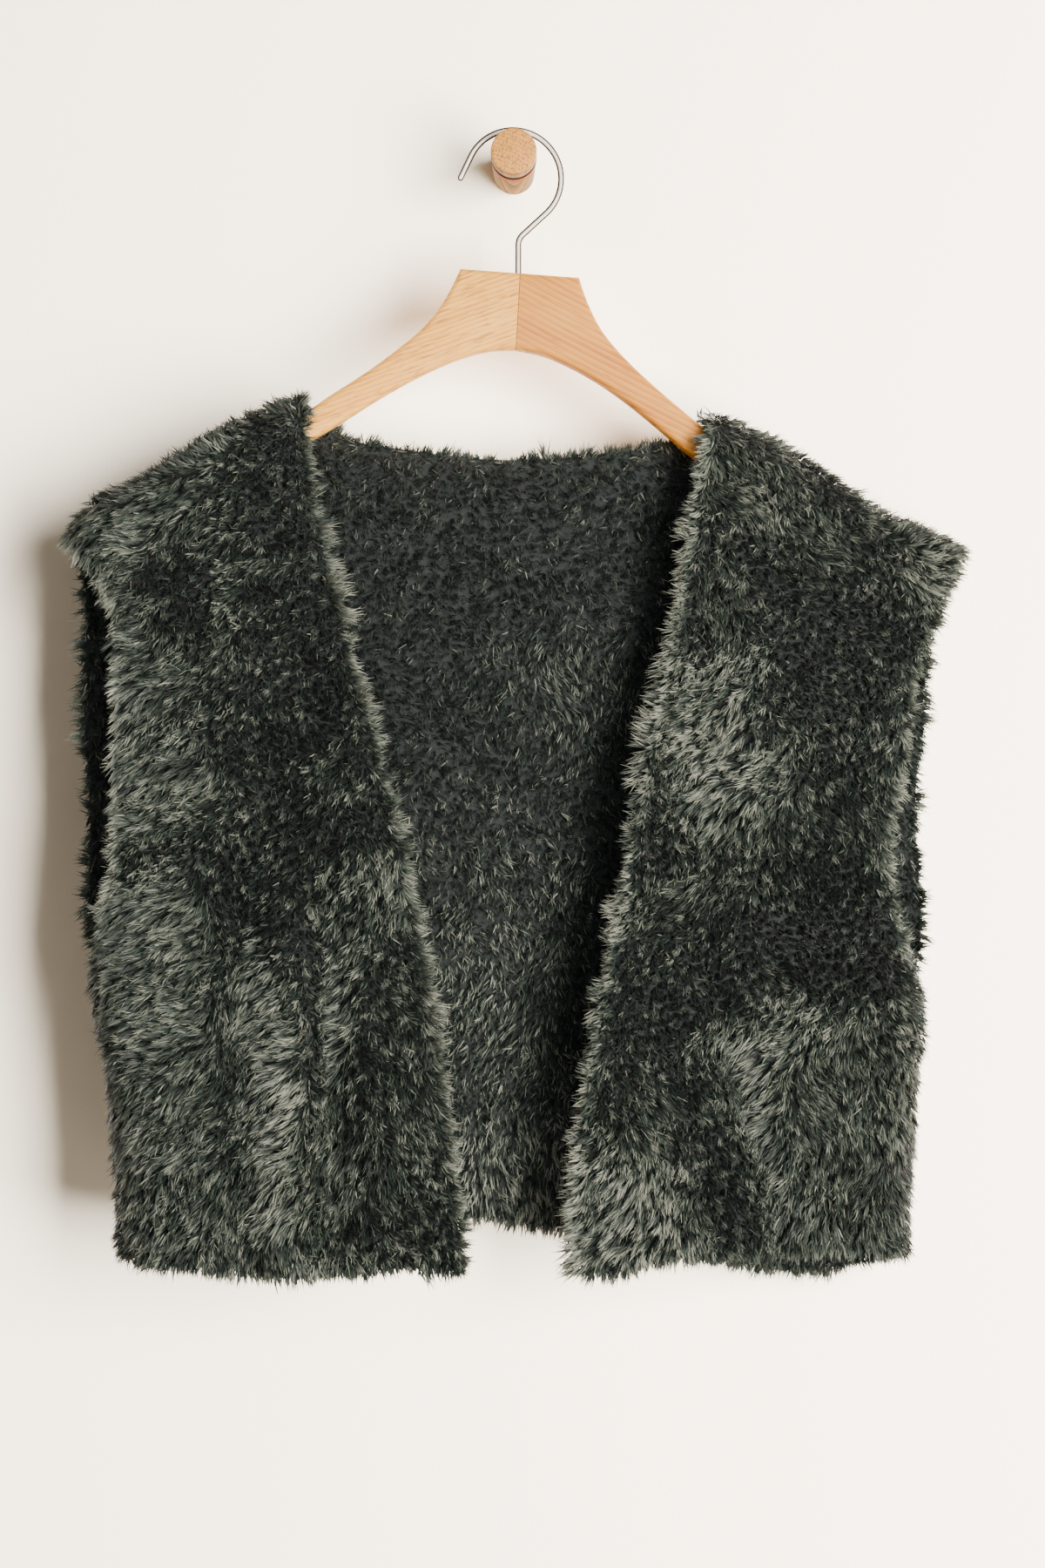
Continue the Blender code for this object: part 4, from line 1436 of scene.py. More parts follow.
@dataclass(frozen=True)
class Fringe:
    """Pile that stands out past a panel's free edges in uneven tufts.

    Pairs give what the tuft adds and what each lock adds: to the sway towards a face and to the
    slant along the edge, in radians. shift is how far roots move out by the tuft, by its fullness
    and always. tone, tuft_stretch and bold_stretch are shares. centred draws locks to their tuft's
    middle, blur lets some stray into the next, and hang lets full tufts droop. lift is the tuft's
    part and the least and most of each lock's own, and root_spread how far roots reach over the
    backing's thickness. An edge is free where its share is over free_from.
    """

    panel: Panel
    per_mm: float = 9.0
    tuft_mm: float = 4.4
    # light and glow make the fringe paler: painted sheen on the sides of its fibres
    light: float = 0.38
    glow: float = 0.5
    uneven: Rows = ((3.2, 6.5, 61), (2.0, 3.0, 62))
    boldness: Rows = ((0.7, 14.0, 63),)
    centred: float = 0.35
    blur: float = 0.2
    free_from: float = 0.35
    root_spread: float = 0.7
    lift: Triple = (0.35, -0.2, 0.3)
    stretch_limits: Pair = (0.5, 2.0)
    sway: Pair = (0.75, 0.75)
    slant: Pair = (0.5, 0.25)
    hang: float = 0.35
    shift: Triple = (1.5, 0.8, -1.6)
    tone: Triple = (0.4, 0.35, 0.28)
    tuft_stretch: float = 0.3
    bold_stretch: float = 0.55
    grid: tuple[int, int] = (160, 220)
    shape: LockShape = LockShape(length=6.8, width=0.75, spread=0.4)

    def grow(self, gathered: LockMesh) -> None:
        """Grow locks along each free edge.

        An edge is a row of points along a side of the panel's grid. Its outward way is the step
        from the row inside it. Each edge reads its own line of the soft noises, and the start edge
        adds the panel's table of fullness.

        Args:
            gathered: where the locks are collected.
        """
        columns, rows = self.grid
        u, v = np.meshgrid(np.linspace(0, 1, columns), np.linspace(0, 1, rows))
        s, t = self.panel.places(u, v, CLOTH.edge_inset)
        points = self.panel.middle(s, t)
        open_side = 1 - self.panel.below_armhole(t)
        free = np.ones(rows)
        of_start, of_end, of_foot, of_head = self.panel.edge_light
        plain, bold_start = ((0.0, 0.0), (1.0, 0.0)), self.panel.bold_start
        sides = (
            (points[0], points[2], np.ones(columns), of_foot, plain),
            (points[:, -1], points[:, -3], open_side[:, -1], of_end, plain),
            (points[-1], points[-3], 1 - self.panel.rolled(s)[-1], of_head, plain),
            (points[:, 0], points[:, 2], open_side[:, 0] if self.panel.start_roll else free,
             of_start, bold_start),
        )
        for edge, inside, share, glow, table in sides:
            steps = np.linalg.norm(np.diff(edge, axis=0), axis=-1) * (share[:-1] > self.free_from)
            if int(steps.sum() * self.per_mm) > 0:
                self.grow_edge(gathered, edge, inside, steps, glow, 40.0 * (of_start + 3 * glow),
                               table)

    def grow_edge(self, gathered: LockMesh, edge: Array, inside: Array,
                  steps: Array, glow: float, line: float, table: Rows) -> None:
        """Grow locks along one edge, fanned from one face of the cloth to the other.

        Locks of one tuft share a slant along the edge, a turn towards a face, a length and a
        paleness, and each adds its own small part.

        Args:
            gathered: where the locks are collected.
            edge: (n, 3) the edge's points.
            inside: (n, 3) the row of points inside it.
            steps: (n - 1,) the edge's steps in millimetres, 0 where it isn't free.
            glow: the paleness that the edge adds.
            line: which line of the soft noises the edge reads.
            table: rows of height and added fullness.
        """
        draw = gathered.random
        count = int(steps.sum() * self.per_mm)
        index = draw.choice(len(steps), count, p=steps / steps.sum())
        a = draw.uniform(0, 1, (count, 1))
        root = edge[index] * (1 - a) + edge[index + 1] * a
        along = unit(edge[index + 1] - edge[index])
        out = edge[index] - inside[index]
        out = unit(out - along * np.sum(out * along, axis=-1, keepdims=True))
        normal = np.cross(out, along)
        run = np.cumsum(steps)[index] + a[:, 0] * steps[index]
        lines = np.full(count, line)
        bold = waver(run, lines, self.boldness) + np.interp(root[:, 2], *np.array(table).T)
        place = (run + waver(run, lines, self.uneven)) / self.tuft_mm + 2.0
        tuft = np.floor(place + self.blur * draw.standard_normal(count)).astype(int)
        tuft = np.clip(tuft, 0, int(place.max()) + 1)
        traits = draw.uniform(-1, 1, (tuft.max() + 1, 4))[tuft]
        centre = (tuft + 0.5 - place)[:, None] * self.centred
        by_tuft, by_lock = self.sway
        sway = (by_tuft * traits[:, 0] + draw.uniform(-by_lock, by_lock, count))[:, None]
        by_tuft, by_lock = self.slant
        slant = by_tuft * traits[:, 1] + by_lock * draw.standard_normal(count)
        hang = self.hang * np.clip(bold, 0, 1.2) * np.abs(along[:, 2])
        slant = (slant - hang * np.sign(along[:, 2]))[:, None]
        lean = unit(np.cos(sway) * out + np.sin(sway) * normal + (slant + centre) * along)
        across = unit(np.cross(lean, along))
        root = root + self.root_spread * CLOTH.half_backing * np.sin(sway) * normal
        by_tuft, by_bold, always = self.shift
        root = root + (by_tuft * traits[:, 2:3] + by_bold * bold[:, None] + always) * out
        by_tuft, least, most = self.lift
        lift = by_tuft * traits[:, 2] + draw.uniform(least, most, count)
        by_tuft, by_bold, by_lock = self.tone
        # Painted sheen on the edge's tufts, as paleness
        light = (self.light + self.glow * glow) * (1 + by_tuft * traits[:, 3] + by_bold * bold)
        light = np.clip(light * (1 + by_lock * draw.standard_normal(count)), 0.05, 1.0)
        stretch = 1 + self.tuft_stretch * traits[:, 2] + self.bold_stretch * bold
        gathered.grow(root, across, lean, lift, light, self.shape,
                      stretch=np.clip(stretch, *self.stretch_limits))


# Hanger and peg


def tube(name: str, path: Array, radius: float, sides: int) -> Mesh:
    """A round wire: a ring of points carried square to the path, with domed ends.

    The path lies in the hanging plane, so each ring is spanned by the plane's normal and the
    path's own normal in it. The end rings shrink to close the wire.

    Args:
        name: the mesh's name.
        path: (n, 2) x and z of the centre line, in millimetres.
        radius: wire radius in millimetres.
        sides: points round the wire.

    Returns:
        The mesh with a UV map named wire: round it and along it.
    """
    line = np.stack([path[:, 0], np.zeros(len(path)), path[:, 1]], axis=-1)
    along = unit(np.gradient(line, axis=0))
    across = np.cross(along, (0.0, 1.0, 0.0))
    # Each end is a dome of four rings, from near its pole to the full radius
    turn = np.linspace(0.12, 1, 4) * math.pi / 2
    dome, ends = np.sin(turn), np.cos(turn)
    line = np.concatenate([line[:1] - along[:1] * (ends * radius)[:, None], line[1:-1],
                           line[-1:] + along[-1:] * (ends[::-1] * radius)[:, None]])
    across = np.concatenate([np.repeat(across[:1], len(turn), 0), across[1:-1],
                             np.repeat(across[-1:], len(turn), 0)])
    scale = np.concatenate([dome, np.ones(len(path) - 2), dome[::-1]])
    angle = np.linspace(0, 2 * math.pi, sides, endpoint=False)
    ring = (np.cos(angle)[None, :, None] * across[:, None]
            + np.sin(angle)[None, :, None] * np.array([0.0, 1.0, 0.0]))
    points = line[:, None] + ring * (radius * scale)[:, None, None]
    rows = len(line)
    index = np.arange(rows * sides).reshape(rows, sides)
    turned = np.roll(index, -1, axis=1)
    faces = np.stack([index[:-1], turned[:-1], turned[1:], index[1:]], axis=-1).reshape(-1, 4)
    mesh = mesh_from(name, PLANE.world(points.reshape(-1, 3)), faces)
    close_mesh(mesh, (index[0], index[-1]))
    mesh.shade_smooth()
    step = np.linalg.norm(np.diff(line, axis=0), axis=-1)
    length = np.concatenate([[0], np.cumsum(step)]) / 100.0
    layer = mesh.uv_layers.new(name="wire")
    vertex = np.empty(len(mesh.loops), np.int32)
    mesh.loops.foreach_get("vertex_index", vertex)
    uv = np.stack([(vertex % sides) / sides, length[vertex // sides]], axis=-1)
    layer.uv.foreach_set("vector", uv.ravel().astype(np.float32))
    return mesh


@dataclass(frozen=True)
class Hook:
    """The hanger's hook of round steel wire, in millimetres of the hanging plane."""

    wire_radius: float = 1.8
    bend_radius: float = 27.35
    groove_radius: float = 12.7
    groove_drop: float = 2.05
    seat_gap: float = 0.3
    tip: tuple[float, float] = (-30.6, -15.3)
    start_deg: float = 155.0
    end_deg: float = -47.0
    shank_x: float = 2.6
    shank_bend: float = 8.0
    shank_foot_z: float = -93.4

    def path(self) -> Array:
        """Centre line: a straight tip, an arc, a straight run and a small bend to the shank.

        Returns:
            (n, 2) x and z in millimetres.
        """
        centre_z = (self.groove_radius - self.groove_drop + self.seat_gap + self.wire_radius
                    - self.bend_radius)
        angles = np.radians(np.linspace(self.start_deg, self.end_deg, 72))
        arc = np.stack([self.bend_radius * np.cos(angles),
                        centre_z + self.bend_radius * np.sin(angles)], axis=-1)
        end = math.radians(self.end_deg)
        run = np.array([math.sin(end), -math.cos(end)])
        turn = math.atan2(-run[0], -run[1])
        corner = arc[-1] + run * (self.shank_x - arc[-1][0]) / run[0]
        centre = np.array([self.shank_x + self.shank_bend,
                           corner[1] - self.shank_bend * math.tan(turn / 2)])
        part = math.pi - turn * np.linspace(1, 0, 12)
        bend = centre + self.shank_bend * np.stack([np.cos(part), np.sin(part)], axis=-1)
        tip = np.linspace(self.tip, arc[0], 6)[:-1]
        run_down = np.linspace(arc[-1], bend[0], 6)[1:-1]
        shank = np.linspace(bend[-1], (self.shank_x, self.shank_foot_z), 10)[1:]
        return np.concatenate([tip, arc, run_down, bend, shank])

    def build(self, finish: Material) -> Object:
        """The wire as a fine tube in place of its solid.

        Args:
            finish: the wire's material.

        Returns:
            The piece.
        """
        mesh = tube("hook_wire", self.path(), self.wire_radius, 20)
        piece = add_piece("hook_wire", mesh, finish)
        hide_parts("hanger_hook")
        return piece


@dataclass(frozen=True)
class WoodHalf:
    """One half of the flat wooden hanger: an outline with rounded edges, in millimetres.

    top and under are the seen edges, from the middle outwards, and arm goes on from the top
    inside the vest. side is -1 at the viewer's left. tip_turn is the arm's round end: from and to
    in degrees, and its points. Edges sharper than sharp_deg are shaded as edges.
    """

    name: str
    node: str
    side: int
    finish: WoodFinish
    top: Rows
    under: Rows
    arm: Rows
    thickness: float = 12.0
    edge_radius: float = 3.0
    seam_top: tuple[float, float] = (3.2, -70.0)
    seam_foot: tuple[float, float] = (0.8, -113.4)
    seam_gap: float = 0.3
    tip_radius: float = 8.0
    tip_turn: tuple[float, float, int] = (75, -90, 12)
    top_points: int = 60
    under_points: int = 50
    sharp_deg: float = 50.0

    def outline(self) -> Array:
        """Outline round the half: seam top, along the top, round the arm's end and back under.

        The curves are read smoothly between their rows by the distance along them.

        Returns:
            (n, 2) x and z in millimetres.
        """
        gap = self.side * self.seam_gap / 2
        start = np.array([[self.seam_top[0] + gap, self.seam_top[1]]])
        foot = np.array([[self.seam_foot[0] + gap, self.seam_foot[1]]])
        shoulder = np.array(self.top[:1])
        upper = self.smooth(np.array(self.top + self.arm), self.top_points)
        slope = math.atan2(upper[-1, 1] - upper[-2, 1], abs(upper[-1, 0] - upper[-2, 0]))
        centre = upper[-1] + self.tip_radius * np.array([self.side * math.sin(slope),
                                                         -math.cos(slope)])
        angle = np.radians(np.linspace(*self.tip_turn)) + slope
        round_end = np.stack([self.side * np.cos(angle), np.sin(angle)], axis=-1)
        end = centre + self.tip_radius * round_end
        lower = self.smooth(np.concatenate([foot, np.array(self.under), end[-1:]]),
                            self.under_points)
        return np.concatenate([start, shoulder, upper[1:], end[:-1], lower[::-1]])

    @staticmethod
    def smooth(rows: Array, count: int) -> Array:
        """Points of a smooth curve through rows, evenly spaced along it.

        Args:
            rows: (n, 2) x and z.
            count: how many points.

        Returns:
            (count, 2) x and z.
        """
        length = np.concatenate([[0], np.cumsum(np.hypot(*np.diff(rows, axis=0).T))])
        at = np.linspace(0, length[-1], count)
        return np.stack([smooth_read(length, rows[:, i], at) for i in (0, 1)], axis=-1)

    def build(self) -> Object:
        """Extrude the outline and round all its edges but those at the seam.

        Returns:
            The piece.
        """
        build = bmesh.new()
        outline = self.outline()
        points = np.stack([outline[:, 0], np.full(len(outline), -self.thickness / 2),
                           outline[:, 1]], axis=-1) * MM
        face = build.faces.new([build.verts.new(point) for point in points])
        pushed = bmesh.ops.extrude_face_region(build, geom=[face])
        moved = [item for item in pushed["geom"] if isinstance(item, bmesh.types.BMVert)]
        bmesh.ops.translate(build, verts=moved, vec=(0, self.thickness * MM, 0))
        bmesh.ops.recalc_face_normals(build, faces=build.faces)
        seam_x = (self.seam_top[0] + self.seam_foot[0]) / 2 * MM
        edges = [edge for edge in build.edges
                 if edge.verts[0].co.y == edge.verts[1].co.y
                 and not all(abs(vert.co.x - seam_x) < 2 * MM for vert in edge.verts)]
        bmesh.ops.bevel(build, geom=edges, offset=self.edge_radius * MM, segments=5, profile=0.5,
                        affect="EDGES", clamp_overlap=True)
        bmesh.ops.triangulate(build, faces=[f for f in build.faces if len(f.verts) > 4])
        mesh = bpy.data.meshes.new(self.name)
        build.to_mesh(mesh)
        build.free()
        points = np.empty(len(mesh.vertices) * 3, np.float32)
        mesh.vertices.foreach_get("co", points)
        mesh.vertices.foreach_set(
            "co", PLANE.world(points.reshape(-1, 3) / MM).astype(np.float32).ravel())
        mesh.shade_smooth()
        mesh.set_sharp_from_angle(angle=math.radians(self.sharp_deg))
        piece = add_piece(self.name, mesh, self.finish.make())
        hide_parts(self.node)
        return piece


@dataclass(frozen=True)
class Peg:
    """The turned peg: body, groove and cap, in millimetres.

    The profile's rows are a radius and y, which falls from 0 at the wall. droop is how far a ring
    sinks for each millimetre that it stands out, and the cap's flat end lies beyond cap_y.
    """

    profile: Rows = (
        (0.0, 0.0), (12.1, 0.0), (13.19, -47.1), (13.1, -47.5), (12.7, -47.6), (12.7, -52.4),
        (12.9, -52.45), (13.1, -52.8), (13.1, -62.9), (12.95, -63.5), (12.6, -63.85),
        (12.0, -64.0), (0.0, -64.0),
    )
    steps: int = 96
    droop: float = 0.041
    cap_y: float = -60.0
    sharp_deg: float = 40.0
    # The turned body's colours are darker than the cap's: partly the oak's own colour and partly
    # painted shade on the peg's sides
    body: WoodFinish = WoodFinish(
        name="oak_turned", pale="#9c7a44", middle="#84602f", dark="#664520", pore="#5d3d1b",
        ring_mm=2.0, cut=GrainCut.ALONG_PEG, grain_deg=90.0, specular=0.03,
        # The groove's near-black colour is painted shade
        scorch_and_groove_shade=ScorchAndGrooveShade(ring="#a04c14", groove="#1d0c04"))
    cap: EndGrainFinish = EndGrainFinish()

    def build(self) -> Object:
        """Turn the profile about the Y axis and let it droop; the flat cap shows end grain.

        Returns:
            The piece.
        """
        profile = np.array(self.profile)
        build = bmesh.new()
        corners = [build.verts.new((radius * MM, y * MM, 0)) for radius, y in profile]
        edges = [build.edges.new(pair) for pair in zip(corners, corners[1:])]
        bmesh.ops.spin(build, geom=corners + edges, axis=(0, 1, 0), cent=(0, 0, 0),
                       angle=2 * math.pi, steps=self.steps)
        bmesh.ops.remove_doubles(build, verts=build.verts, dist=0.00001)
        bmesh.ops.recalc_face_normals(build, faces=build.faces)
        for face in build.faces:
            at_cap = face.calc_center_median().y < self.cap_y * MM
            face.material_index = int(face.normal.y < -0.7 and at_cap)
        for corner in build.verts:
            corner.co.z += self.droop * corner.co.y
        mesh = bpy.data.meshes.new("peg_turned")
        build.to_mesh(mesh)
        build.free()
        mesh.shade_smooth()
        mesh.set_sharp_from_angle(angle=math.radians(self.sharp_deg))
        piece = add_piece("peg_turned", mesh, self.body.make())
        mesh.materials.append(self.cap.make())
        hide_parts("wall_peg")
        return piece


# Sizes of the vest's cut, as it hangs

LEFT_SEAM = ((0.00, -226, -632), (0.13, -228, -578), (0.28, -233, -515), (0.41, -240, -471))
RIGHT_SEAM = ((0.00, 231, -639), (0.13, 233, -590), (0.27, 236, -540), (0.41, 239, -484))
LEFT_SHOULDER = Outline((
    (0.00, -117, -144), (0.08, -127, -147), (0.21, -144, -154), (0.42, -174, -170),
    (0.68, -210, -193), (0.91, -243, -212), (1.00, -255, -232),
))
RIGHT_SHOULDER = Outline((
    (0.00, 108, -150), (0.10, 125, -156), (0.31, 157, -171), (0.51, 188, -191),
    (0.65, 208, -205), (0.85, 239, -218), (1.00, 264, -229),
))


def left_front() -> Panel:
    """The front at the viewer's left.

    Returns:
        The panel.
    """
    return Panel(
        name="front_left", node="vest_front_left", side=-1,
        start=Outline((
            (0.000, -26, -640), (0.114, -33, -583), (0.263, -43, -509), (0.412, -55, -436),
            (0.561, -72, -362), (0.710, -93, -289), (0.839, -109, -226), (0.938, -117, -177),
            (1.000, -117, -144),
        )),
        end=Outline(LEFT_SEAM + (
            (0.48, -235, -438), (0.56, -229, -405), (0.70, -227, -350), (0.83, -227, -299),
            (0.93, -233, -258), (1.00, -255, -232),
        )),
        foot=Outline((
            (0.00, -26, -640), (0.18, -60, -638), (0.36, -95, -639), (0.60, -144, -641),
            (0.83, -192, -635), (1.00, -226, -632),
        )),
        head=LEFT_SHOULDER,
        gaps=((0.00, 33, 29, 19), (0.45, 32, 28, 20), (0.80, 25, 23, 20), (0.94, 17, 17, 16),
              (1.00, 14, 14, 14)),
        folds=(
            (-128, -470, -132, -622, 15, 5.0), (-152, -440, -154, -632, 13, -4.0),
            (-108, -450, -104, -600, 12, -4.5), (-86, -400, -80, -560, 14, 4.0),
            (-205, -480, -190, -600, 30, 3.0), (-150, -230, -190, -420, 30, 3.0),
            (-120, -330, -175, -470, 24, -3.5),
        ),
        start_roll=0.0, end_roll=24.0,
        flat=(0.235, 0.52), flat_area=0.083, rests_on=("hanger_left_half",),
        edge_light=(0.24, 0.46, 0.12, 0.3),
        bold_start=((-640, 0.1), (-580, 0.1), (-560, 0.7), (-540, 0.2), (-500, 0.6), (-470, 0.5),
                    (-440, 0.2), (-410, 0.7), (-385, 0.9), (-365, 0.1), (-335, 0.4), (-315, 1.1),
                    (-298, 1.0), (-285, 0.4), (-270, 1.2), (-250, 1.0), (-235, 0.2), (-215, 0.5),
                    (-190, 0.0), (-150, 0.0)),
    )


def right_front() -> Panel:
    """The front at the viewer's right.

    Returns:
        The panel.
    """
    return Panel(
        name="front_right", node="vest_front_right", side=-1,
        start=Outline((
            (0.000, 32, -642), (0.070, 26, -606), (0.135, 29, -574), (0.235, 36, -525),
            (0.335, 44, -476), (0.430, 54, -431), (0.570, 67, -362), (0.700, 82, -298),
            (0.810, 93, -244), (0.910, 100, -195), (1.000, 108, -150),
        )),
        end=Outline(RIGHT_SEAM + (
            (0.49, 225, -448), (0.58, 217, -405), (0.70, 226, -357), (0.82, 232, -307),
            (0.92, 248, -262), (1.00, 264, -229),
        )),
        foot=Outline((
            (0.00, 32, -642), (0.10, 52, -643), (0.25, 82, -635), (0.48, 127, -635),
            (0.72, 175, -632), (0.87, 204, -632), (1.00, 231, -639),
        )),
        head=RIGHT_SHOULDER,
        gaps=((0.00, 30, 25, 15), (0.45, 28, 24, 15), (0.80, 22, 20, 16), (0.94, 16, 16, 15),
              (1.00, 14, 14, 14)),
        folds=(
            (128, -495, 170, -590, 17, 5.0), (112, -470, 150, -636, 13, -5.0),
            (60, -540, 82, -622, 26, 5.0), (160, -300, 120, -420, 26, 4.0),
            (90, -440, 200, -430, 18, -3.5), (205, -420, 215, -560, 22, 3.0),
        ),
        start_roll=0.0, end_roll=19.0,
        flat=(0.235, 0.52), flat_area=0.083, rests_on=("hanger_right_half",),
        edge_light=(0.36, 0.44, 0.10, 0.3),
        bold_start=((-640, 0.9), (-600, 0.7), (-560, 0.8), (-520, 0.6), (-480, 0.9), (-440, 0.7),
                    (-400, 0.4), (-360, 0.7), (-300, 0.7), (-260, 0.9), (-220, 0.5), (-150, 0.3)),
    )


def back() -> Panel:
    """The back, from the viewer's left to right.

    Returns:
        The panel.
    """
    rows = (
        (0.000, -255, -232, 1.0), (0.024, -243, -212, 1.0), (0.085, -210, -193, 1.0),
        (0.155, -174, -170, 1.0), (0.212, -144, -154, 1.0), (0.246, -127, -147, 1.0),
        (0.264, -118, -144, 1.0), (0.269, -116.4, -145, 0.3), (0.285, -108, -153, 0.0),
        (0.310, -95, -159, 0.0), (0.380, -59, -165, 0.0), (0.490, -4, -170, 0.0),
        (0.600, 57, -165, 0.0), (0.672, 92, -158, 0.0), (0.694, 103, -154, 0.0),
        (0.704, 107.6, -151, 0.3), (0.709, 109.4, -150, 1.0), (0.738, 125, -156, 1.0),
        (0.798, 157, -171, 1.0), (0.855, 188, -191, 1.0), (0.895, 208, -205, 1.0),
        (0.952, 239, -218, 1.0), (1.000, 264, -229, 1.0),
    )
    return Panel(
        name="back", node="vest_back", side=1,
        start=Outline(LEFT_SEAM + (
            (0.48, -246, -443), (0.63, -247, -383), (0.78, -251, -316), (0.90, -249, -271),
            (1.00, -255, -232),
        )),
        end=Outline(RIGHT_SEAM + (
            (0.49, 246, -452), (0.65, 243, -384), (0.80, 248, -318), (0.91, 252, -276),
            (1.00, 264, -229),
        )),
        foot=Outline((
            (0.00, -226, -632), (0.18, -144, -628), (0.31, -85, -620), (0.44, -24, -617),
            (0.56, 27, -626), (0.69, 88, -637), (0.83, 149, -649), (0.91, 191, -651),
            (1.00, 231, -639),
        )),
        head=Outline(tuple(row[:3] for row in rows)),
        head_roll=tuple((row[0], row[3]) for row in rows),
        gaps=((0.00, 19, 17, 15), (0.45, 18, 16, 14), (0.80, 16, 15, 14), (1.00, 14, 14, 14)),
        folds=(
            (-150, -300, -165, -640, 26, 3.5), (-60, -330, -66, -610, 22, -3.0),
            (20, -380, 24, -625, 26, 4.0), (96, -360, 110, -640, 24, -3.0),
            (170, -330, 176, -650, 26, 2.5), (-90, -190, 60, -190, 22, -2.0),
        ),
        start_roll=24.0, end_roll=19.0,
        flat=(0.54, 0.52), flat_area=0.235, rests_on=("hanger_left_half", "hanger_right_half"),
        edge_light=(0.15, 0.25, 0.15, 0.2),
    )


# How the pile lies

# Each patch's light is painted sheen where its pile lies flat and painted shade where it stands
LEFT_NAP = Nap(seed=11, patches=(
    (-216, -215, 44, 19, 25, 210, 22, 0.54), (-248, -228, 16, 14, 0, 225, 22, 0.64),
    (-165, -166, 60, 9, 26, 120, 40, 0.46), (-162, -227, 14, 18, 0, 200, 40, 0.42),
    (-132, -248, 22, 6, 5, 190, 30, 0.50), (-160, -276, 9, 24, 0, 240, 34, 0.42),
    (-218, -300, 10, 60, 0, 195, 24, 0.58), (-203, -320, 34, 34, 0, 215, 30, 0.54),
    (-197, -362, 48, 24, 0, 205, 24, 0.64), (-137, -344, 34, 60, 0, -90, 72, 0.15),
    (-97, -365, 11, 14, 0, 220, 36, 0.42), (-176, -404, 60, 12, 0, -90, 66, 0.19),
    (-206, -446, 36, 38, 0, 192, 22, 0.68), (-199, -502, 38, 28, 0, 190, 26, 0.58),
    (-194, -546, 42, 30, 0, 222, 28, 0.52), (-196, -600, 46, 32, 0, 250, 32, 0.48),
    (-145, -436, 26, 28, 0, -90, 70, 0.16), (-131, -432, 5, 10, -20, 235, 24, 0.60),
    (-146, -483, 10, 24, -25, 225, 18, 0.78), (-130, -540, 12, 50, 2, 185, 12, 1.00),
    (-133, -600, 9, 14, 0, 215, 20, 0.74), (-116, -520, 6, 46, 0, -90, 66, 0.16),
    (-103, -490, 9, 26, 0, 200, 24, 0.66), (-106, -536, 8, 30, 0, 195, 26, 0.56),
    (-87, -431, 18, 26, -30, 232, 22, 0.68), (-108, -580, 15, 26, 0, 250, 28, 0.52),
    (-163, -525, 7, 46, 0, -90, 62, 0.24), (-72, -553, 26, 52, 0, -64, 38, 0.36),
    (-126, -626, 46, 14, 0, -90, 30, 0.60),
))
RIGHT_NAP = Nap(seed=23, patches=(
    (244, -238, 22, 20, 0, -35, 22, 1.0), (190, -189, 80, 6, -27, 40, 30, 0.56),
    (184, -207, 50, 3, -26, -90, 72, 0.03), (118, -160, 14, 14, 0, -50, 30, 0.52),
    (148, -200, 44, 17, -42, -42, 22, 0.68), (190, -216, 20, 12, -25, -40, 34, 0.42),
    (112, -254, 14, 22, 0, -90, 36, 0.44), (118, -331, 28, 46, 4, 190, 18, 1.0),
    (118, -378, 20, 14, 0, 215, 26, 0.62), (99, -282, 7, 42, 10, -90, 66, 0.12),
    (178, -296, 34, 48, 0, -90, 72, 0.12), (207, -356, 14, 46, 0, -80, 34, 0.46),
    (170, -384, 34, 20, 0, -80, 50, 0.30), (98, -418, 22, 10, 0, 178, 30, 0.30),
    (126, -421, 16, 16, 0, 250, 44, 0.26), (83, -448, 30, 13, 0, 195, 28, 0.52),
    (160, -450, 66, 30, 0, -90, 72, 0.04), (180, -466, 46, 20, 0, -90, 72, 0.05),
    (85, -474, 26, 20, 0, -90, 66, 0.20), (151, -504, 38, 15, 4, 188, 20, 0.80),
    (134, -537, 15, 22, 0, 205, 20, 0.76), (145, -573, 11, 30, 15, 215, 22, 0.66),
    (190, -572, 34, 54, 0, -90, 28, 0.48), (226, -560, 8, 60, 0, -75, 28, 0.60),
    (112, -582, 12, 52, 15, -90, 66, 0.07), (75, -544, 15, 24, 0, -60, 34, 0.44),
    (70, -600, 30, 35, -30, 233, 18, 1.0), (42, -622, 18, 18, 0, 220, 24, 0.62),
    (180, -622, 46, 9, 0, -88, 30, 0.46),
))
# The back's inside is darker than its outside: painted shade within the vest, with patches of
# painted sheen
INSIDE_BACK_NAP = Nap(seed=37, lift=54.0, light=0.12, flecks=0.2, mottle=0.6, patches=(
    (30, -304, 40, 30, 0, -90, 32, 0.68), (-15, -460, 50, 66, 0, -90, 40, 0.62),
    (5, -504, 14, 20, 0, 200, 28, 0.54), (0, -594, 60, 40, 0, -95, 28, 1.0),
))
OUTSIDE_BACK_NAP = Nap(seed=41, patches=(
    (-150, -260, 46, 40, 20, -120, 24, 0.70), (150, -280, 40, 70, -10, -60, 22, 0.74),
    (20, -300, 60, 70, 0, -90, 62, 0.26), (-60, -430, 20, 80, 6, 200, 18, 0.85),
    (70, -500, 24, 80, -8, -20, 18, 0.85), (-170, -520, 40, 70, 0, -90, 28, 0.55),
    (175, -560, 36, 60, 0, -90, 26, 0.60), (0, -610, 160, 24, 0, -90, 28, 0.50),
))
INSIDE_FRONT_NAP = Nap(seed=53, light=0.26)


@dataclass(frozen=True)
class PanelPlan:
    """A panel with the nap and the number of locks of each face, and which face has long pile.

    The long pile is on the faces that look away from the viewer, where fewer locks do.
    """

    panel: Panel
    outer_nap: Nap
    inner_nap: Nap
    outer_locks: int
    inner_locks: int
    long_outside: bool


